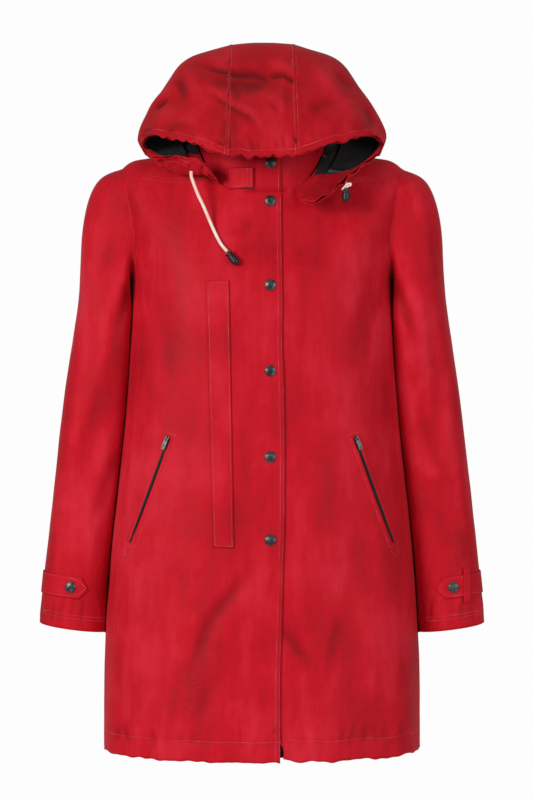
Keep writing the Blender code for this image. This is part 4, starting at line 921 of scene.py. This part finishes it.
# ---- collar stand, chest flap and tabs ----------------------------------------
# Doubled and pressed red cloth: the stand inside the hood, the long flap over the
# chest pocket, the throat tab folded back on the stand, and the cuffs' tabs.
small_swell = ((45, 0.35), (18, 0.2))
for node in ("stand_right", "stand_left"):
    cloth[node] = cloth_piece(node, BODY_HEART, 2, lining=red_cloth, swell=small_swell, calm=calm, seed=7.0)
cloth["chest_flap"] = cloth_piece("chest_flap", BODY_HEART, 3, 1.4, red_cloth, front=FRONT_CREASES,
                                  calm=calm, seed=1.0)
TAB_CREASES = [(((-20, -36), (-20, -66)), 1.4, 0.5, 0.0), (((-26, -36), (-27, -66)), 1.4, 0.4, 0.0),
               (((-46, -62), (-14, -62)), 3.5, 1.3, 0.0), (((-34, -40), (-33, -60)), 2.2, -0.5, 0.0)]
cloth["throat_tab"] = cloth_piece("throat_tab", BODY_HEART, 3, 1.4, red_cloth, front=TAB_CREASES, swell=((14, 0.5),),
                                  seed=3.0)
for side, hand in ((1, "left"), (-1, "right")):
    node = f"cuff_tab_{hand}"
    cloth[node] = cloth_piece(node, sleeve_heart(side), 3, 1.4, red_cloth, swell=((30, 0.2),), calm=calm, seed=3.0)
cloth["cuff_loop_left"] = cloth_piece("cuff_loop_left", sleeve_heart(1), 3, 1.2, red_cloth, swell=((20, 0.1),))
for piece in cloth.values():
    give_wall(piece, 0.9 if "facing" in piece.name or "lining" in piece.name else 1.2)

# ---- topstitching -------------------------------------------------------------
# Lock stitches of cotton thread a little lighter than the cloth, in rows along the
# edges, seams and hems, each stitch a small raised dash on the cloth.
thread, tree, shader = new_material("cotton_thread_red", "#D24A58", 0.6)
set_colour(tree, shader, object_noise(tree, 60.0, 3.0), [(0.3, "#CB3444"), (0.5, "#DB5A66"), (0.72, "#EBA0A2")])
# Where two pieces are sewn together the seam is pressed to a low roll of the same cloth.
LAP_REACH, LAP_RISE, LAP_STEP, SHORTEST_LAP = 6.0, 0.45, 3.0, 20.0
SUNK = 0.0002            # what lies on the cloth starts this far under its face, in metres
trees = {node: cloth_tree(node) for node in cloth}


def rim_runs(node, other_tree):
    """Runs of a piece's edge that lie along another piece: points, with the way out of the piece."""
    mesh = cloth[node].data
    ends = rim_of(mesh)
    near = {i for i in ends if (other_tree.find_nearest(mesh.vertices[i].co)[3] or 9) < LAP_REACH / 1000}
    runs, used = [], set()
    starts = [i for i in near if sum(j in near for j, _ in ends[i]) == 1] + sorted(near)
    for start in starts:
        if start in used:
            continue
        run, here = [start], start
        used.add(start)
        while True:
            after = [(j, face) for j, face in ends[here] if j in near and j not in used]
            if not after:
                break
            here = after[0][0]
            run.append(here)
            used.add(here)
        if len(run) > 4:
            centres = [ends[i][0][1] for i in run]
            runs.append((np.array([mesh.vertices[i].co for i in run]), np.array([f.center for f in centres]),
                         np.array([f.normal for f in centres])))
    return runs


def seam_lap(points, faces, one, other, reach):
    """Adds the rolls where the edge of one piece runs along another."""
    own, far = trees[one], trees[other]
    for places, centres, normals in rim_runs(one, far):
        along = running_length(places)
        if along[-1] < SHORTEST_LAP / 1000:
            continue
        count = max(int(along[-1] * 1000 / LAP_STEP), 2)
        even = np.linspace(0, along[-1], count + 1)
        line, heart, up = [read_rows(along, known, even) for known in (places, centres, normals)]
        headings = np.gradient(line, axis=0)
        first = len(points)
        for here, middle, normal, heading in zip(line, heart, up, headings):
            here, normal = Vector(here), Vector(normal).normalized()
            out = normal.cross(Vector(heading)).normalized()
            if (Vector(middle) - here).dot(out) > 0:
                out = -out
            over = far.find_nearest(here)[0]
            wide, low = reach / 1000, LAP_RISE / 1000
            left = own.find_nearest(here - out * wide)[0]
            left_high = own.find_nearest(here - out * wide * 0.5)[0] + normal * low
            right = far.find_nearest(over + out * wide)[0]
            right_high = far.find_nearest(over + out * wide * 0.5)[0] + normal * low
            points += [left - normal * SUNK, left_high, (here + over) / 2 + normal * low * 1.25,
                       right_high, right - normal * SUNK]
        for row in range(count):
            for k in range(4):
                a = first + row * 5 + k
                faces.append((a, a + 1, a + 6, a + 5))


def laps(name, pairs, reach):
    points, faces = [], []
    for one, other in pairs:
        seam_lap(points, faces, one, other, reach)
    return finished(name, mesh_of(name, points, faces), red_cloth)


pairs = [("front_right", "back"), ("front_left", "back")]
for hand in ("right", "left"):
    pairs += [(f"sleeve_{hand}_front", f"sleeve_{hand}_back"), (f"sleeve_{hand}_front", f"front_{hand}"),
              (f"sleeve_{hand}_front", "back"), (f"sleeve_{hand}_back", "back")]
laps("seam_laps_body", pairs, 2.0)
laps("seam_laps_hood", [("hood_side_right", "hood_centre"), ("hood_side_left", "hood_centre"),
                        ("stand_right", "front_right"), ("stand_left", "front_left"),
                        ("hood_side_right", "back"), ("hood_side_left", "back"), ("hood_centre", "back")], 1.7)
STITCH, STITCH_PITCH, STITCH_WIDTH, STITCH_HEIGHT = 2.7, 3.6, 0.8, 0.35
PATH_STEP = 0.004        # between the points of a path over the cloth, in metres


def edge_path(node, start, end, via=None):
    """Points along a piece's own edge, from near start to near end in mm, past via or the shorter way."""
    mesh = cloth[node].data
    ends = {here: [other for other, _ in others] for here, others in rim_of(mesh).items()}
    rim = np.array(list(ends))
    places = np.array([mesh.vertices[i].co for i in rim])
    first, last = [rim[np.argmin(np.linalg.norm(places - np.array(q) / 1000, axis=1))] for q in (start, end)]
    found = []
    for step in ends[first]:
        walk, before, here = [first, step], first, step
        while here != last and len(walk) < 6000:
            after = [i for i in ends[here] if i != before]
            if not after or after[0] == first:
                break
            before, here = here, after[0]
            walk.append(here)
        if here == last:
            points = np.array([mesh.vertices[i].co for i in walk])
            length = np.linalg.norm(np.diff(points, axis=0), axis=1).sum()
            miss = np.linalg.norm(points - np.array(via) / 1000, axis=1).min() if via is not None else length
            found.append((miss, points))
    return min(found, key=lambda pair: pair[0])[1]


def spaced_points(points, step):
    along = running_length(points)
    return read_rows(along, points, np.arange(step / 2, along[-1], step))


def inset_path(tree, faces, points, inset):
    """The path walked over the cloth, away from its edge, by inset mm."""
    points = spaced_points(points, PATH_STEP)
    padded = np.concatenate((2 * points[0] - points[4:0:-1], points, 2 * points[-1] - points[-2:-6:-1]))
    if len(points) > 9:
        points = np.array([np.convolve(padded[:, k], np.ones(9) / 9, "valid") for k in range(3)]).T
    steps = max(int(math.ceil(inset / 5)), 1)
    inward = 0
    for _ in range(steps):
        moved = []
        for here, heading in zip(points, np.gradient(points, axis=0)):
            spot, normal, face, _ = tree.find_nearest(Vector(here))
            moved.append((spot, Vector(normal).cross(Vector(heading)).normalized(), face))
        if not inward:
            inward = 1 if sum(np.sign((faces[f] - spot).dot(side)) for spot, side, f in moved) > 0 else -1
        points = np.array([tree.find_nearest(spot + side * inward * inset / 1000 / steps)[0]
                           for spot, side, _ in moved])
    return points


def stitch_rows(name, rows):
    """Rows of stitches: each is a piece's name, a path over it in metres and its inset in mm."""
    points, faces = [], []
    for node, path, inset in rows:
        tree = trees[node]
        line = inset_path(tree, [f.center for f in cloth[node].data.polygons], path, inset) if inset else path
        line = spaced_points(line, STITCH_PITCH / 1000)
        for here, heading in zip(line, np.gradient(line, axis=0)):
            spot, normal, _, _ = tree.find_nearest(Vector(here))
            ahead = Vector(heading).normalized() * STITCH / 2000
            side = normal.cross(ahead).normalized() * STITCH_WIDTH / 2000
            first = len(points)
            points += [spot - ahead, spot + side, spot + ahead, spot - side,
                       spot + normal * STITCH_HEIGHT / 1000, spot - normal * SUNK]
            around = ((1, 0), (2, 1), (3, 2), (0, 3))
            faces += [(first + a, first + b, first + 4) for a, b in around]
            faces += [(first + b, first + a, first + 5) for a, b in around]
    return finished(name, mesh_of(name, points, faces), thread)


def over_front(node, places):
    """A path in x and z, laid on the forward face of a piece."""
    points = []
    for (x0, z0), (x1, z1) in zip(places[:-1], places[1:]):
        count = max(int(math.hypot(x1 - x0, z1 - z0) / 4), 1)
        for share in np.arange(count + 1) / count:
            ahead = Vector(((x0 + (x1 - x0) * share) / 1000, -1, (z0 + (z1 - z0) * share) / 1000))
            hit = trees[node].ray_cast(ahead, Vector((0, 1, 0)))[0]
            if hit is not None:
                points.append(np.array(hit))
    return np.array(points)


LIP_SECTION = ((-1, -0.5), (-0.6, 0.8), (0, 1), (0.6, 0.8), (1, -0.5))


def cloth_lips(name, lips, reach, rise):
    """Low rolls of cloth laid along paths on a piece, as on both sides of a zip slit."""
    points, faces = [], []
    for node, path in lips:
        tree, first = trees[node], len(points)
        path = spaced_points(path, PATH_STEP)
        for here, heading in zip(path, np.gradient(path, axis=0)):
            spot, normal, _, _ = tree.find_nearest(Vector(here))
            side = normal.cross(Vector(heading)).normalized() * reach / 1000
            points += [spot + side * s + normal * (rise * h / 1000) for s, h in LIP_SECTION]
        for row in range(len(path) - 1):
            for k in range(4):
                a = first + row * 5 + k
                faces.append((a, a + 5, a + 6, a + 1))
    return finished(name, mesh_of(name, points, faces), red_cloth)


HEM_INSET, CUFF_INSETS = 28, (16, 21)
lips = []
SLIT_HALF, LIP_OFFSET = 6.5, 3.9         # stitching and lips, from the zip's middle
NECK_EDGE, HEM_EDGE = (27, -100, -74), (22, -151, -862)
rows = [("front_right", edge_path("front_right", NECK_EDGE, HEM_EDGE), inset) for inset in (1.4, 6.2)]
hem_right = edge_path("front_right", HEM_EDGE, (-228, 0, -862))
hem_left = edge_path("front_left", (-10, -150, -862), (228, 0, -862))
hem_around = edge_path("back", (228, 0, -862), (-228, 0, -862), (0, 148, -862))
rows += [("front_right", hem_right, HEM_INSET), ("front_left", hem_left, HEM_INSET), ("back", hem_around, HEM_INSET)]
for side, hand in ((-1, "right"), (1, "left")):
    shoulder = edge_path("back", (70 * side, -72, -58), (175 * side, -62, -128), (120 * side, -70, -95))
    rows += [("back", shoulder, 1.6), ("back", shoulder, 5.5)]
    front, sleeve = f"front_{hand}", f"sleeve_{hand}_front"
    rows.append((front, edge_path(front, (180 * side, -60, -135), (187 * side, -10, -188)), 2.5))
    cuffs = [(half, edge_path(half, (230 * side, 0, -686), (315 * side, 0, -676), (272 * side, y, -681)))
             for half, y in ((sleeve, -45), (f"sleeve_{hand}_back", 45))]
    rows += [(half, cuff, inset) for inset in CUFF_INSETS for half, cuff in cuffs]
    over = edge_path(sleeve, (210 * side, -8, -40), (318 * side, -8, -640))
    rows += [(sleeve, over, 1.6), (sleeve, over, 6.5)]
    top, bottom = zip_ends(side)
    down = (bottom - top) / np.linalg.norm(bottom - top)
    across = np.array((down[1], -down[0])) * SLIT_HALF
    for way in (-1, 1):
        lip = [q + across / SLIT_HALF * LIP_OFFSET * way for q in (top - down * 3, bottom + down * 3)]
        lips.append((front, over_front(front, lip)))
    slit = [top - across - down * 5, bottom - across + down * 6, bottom + across + down * 6, top + across - down * 5]
    rows.append((front, over_front(front, slit + slit[:1]), 0))
    tack = [bottom + down * q + across / SLIT_HALF * r for q, r in ((9, -5), (20, -4), (20, 4), (9, 5))]
    rows.append((front, over_front(front, tack), 0))
stitch_rows("topstitch_body", rows)
cloth_lips("zip_slit_lips", lips, 3.5, 2.0)

rows = []
for side, hand in ((-1, "right"), (1, "left")):
    seam = edge_path(f"hood_side_{hand}", (45 * side, 94, 94), (49 * side, -148, -25), (45 * side, -12, 150))
    strip = edge_path("hood_centre", (44 * side, 94, 94), (48 * side, -148, -25), (45 * side, -12, 150))
    rows += [(f"hood_side_{hand}", seam, 2.0), ("hood_centre", strip, 2.0)]
    foot = (68, -117, -50) if side < 0 else (52, -127, -86)
    brim = edge_path(f"hood_side_{hand}", (49 * side, -148, -25), (foot[0] * side, foot[1], foot[2]),
                     (173 * side, -70, 2))
    rows.append((f"hood_side_{hand}", brim, 9.0))
rows.append(("hood_centre", edge_path("hood_centre", (-49, -148, -25), (49, -148, -25)), 9.0))
stitch_rows("topstitch_hood", rows)

rows = [(node, over_front(node, places), 0) for node, places in (
    ("chest_flap", [(-75, -198.5), (-47.5, -198.5), (-41, -564.5), (-64.5, -564.5), (-75, -198.5)]),
    ("throat_tab", [(-45, -38.5), (-14.5, -38.5), (-14.5, -63.5), (-45, -63.5)]),
    ("throat_tab", [(-20, -38), (-20, -64)]),
    ("throat_tab", [(-26.5, -38), (-26.5, -64)]),
    ("stand_right", [(23.5, -70), (23.5, -16)]))]
for side, hand in ((-1, "right"), (1, "left")):
    node, tip = f"cuff_tab_{hand}", (250 * side, -32, -628)
    rows += [(node, edge_path(node, (318 * side, 20, z), tip, (280 * side, -46, z)), 2.2) for z in (-612, -645)]
stitch_rows("topstitch_tabs", rows)
# A small black ring hangs just under the throat tab's outer corner, making a dark crescent there.
end = over_front("throat_tab", [(-20, -60), (-18, -60)])[-1]
placing = Matrix.Translation(Vector(end) + Vector((0, -0.0015, -0.0055))) @ Matrix.Rotation(math.radians(24), 4, "X")
torus("throat_tab_black_ring", 0.0042, 0.0008, (36, 10), placing, twill)

# ---- press snaps --------------------------------------------------------------
# Pressed steel caps with a gunmetal finish in patchy lighter and darker patina, each set
# through the cloth: one on the stand, five down the front and one on each cuff.
gunmetal, tree, shader = new_material("antiqued_gunmetal", "#4A4B4C", 0.36, 0.95)
patina = object_noise(tree, 240.0, 5.0, Roughness=0.65)
set_colour(tree, shader, patina, [(0.3, "#2E2F30"), (0.54, "#565858"), (0.78, "#9A9B98")])
set_roughness(tree, shader, patina, 0.26, 0.5)
set_bump(tree, shader, patina, 0.3, 0.0001)

SNAP_CAP = ((0, 2.45), (2.2, 2.4), (4.2, 2.15), (5.6, 1.75), (6.3, 1.4), (6.5, 1.2), (6.75, 1.25), (7.3, 1.15),
            (7.8, 0.8), (8.0, 0.35), (7.8, 0.05), (6.5, 0.0), (0, 0.0))
snap_hearts = {"front": BODY_HEART, "left": sleeve_heart(1), "right": sleeve_heart(-1)}
for node in [f"front_snap_{n}" for n in range(1, 7)] + ["cuff_snap_left", "cuff_snap_right"]:
    middle, axis, half = frame_of(node, False)
    heart = snap_hearts[node.split("_")[-1] if node.startswith("cuff") else "front"]
    if (middle - np.array(heart(middle))) @ axis < 0:
        axis = -axis
    turned(f"snap_cap_{node}", SNAP_CAP, middle - axis * half, axis, 48, gunmetal, node)

# ---- pocket zips --------------------------------------------------------------
# Black woven tape in a slanted slit, with black metal teeth.  The slider and its
# pull tab are the CAD's, which the tab's joint turns on.
tape, tree, shader = new_material("zip_tape_black", "#131315", 0.75)
zip_teeth, _, _ = new_material("zip_teeth_black", "#17171A", 0.5, 0.4)
spot = add_node(tree, "ShaderNodeTexCoord").outputs["Object"]
rib = add_node(tree, "ShaderNodeTexWave", settings={"bands_direction": "Z"}, inputs={"Scale": 300.0},
               links={"Vector": spot}).outputs["Fac"]
set_bump(tree, shader, rib, 0.5, 0.0003)
TEETH = 96
TOOTH = ((-1, -1, 0), (1, -1, 0), (1, 1, 0), (-1, 1, 0), (-0.7, -0.6, 1), (0.7, -0.6, 1), (0.7, 0.6, 1), (-0.7, 0.6, 1))
TOOTH_FACES = ((0, 3, 2, 1), (4, 5, 6, 7), (0, 1, 5, 4), (1, 2, 6, 5), (2, 3, 7, 6), (3, 0, 4, 7))
for side, hand in ((-1, "right"), (1, "left")):
    for node, material in ((f"pocket_zip_{hand}", tape), (f"zip_slider_{hand}", gunmetal),
                           (f"zip_pull_{hand}", gunmetal)):
        nodes[node].data.materials.clear()
        nodes[node].data.materials.append(material)
    spine = zip_line(side)
    points, faces = [], []
    for i in range(TEETH):
        place = 0.6 + (len(spine) - 1.7) * i / (TEETH - 1)
        here = blend_rows(spine, place)
        after, before = blend_rows(spine, min(place + 0.05, len(spine) - 1)), blend_rows(spine, place - 0.05)
        down = Vector(after - before).normalized()
        across = down.cross(Vector((0, -1, 0))).normalized()
        outward = across.cross(down) * (1 if across.cross(down).y < 0 else -1)
        centre = Vector(here) + across * (0.0004 if i % 2 else -0.0004) + outward * 0.0004
        first = len(points)
        for a, b, c in TOOTH:
            points.append(centre + across * a * 0.0009 + down * b * 0.00055 + outward * c * 0.0008)
        faces += [tuple(first + k for k in face) for face in TOOTH_FACES]
    mesh = mesh_of(f"zip_teeth_{hand}", points, faces)
    finished(f"zip_teeth_{hand}", mesh, zip_teeth)
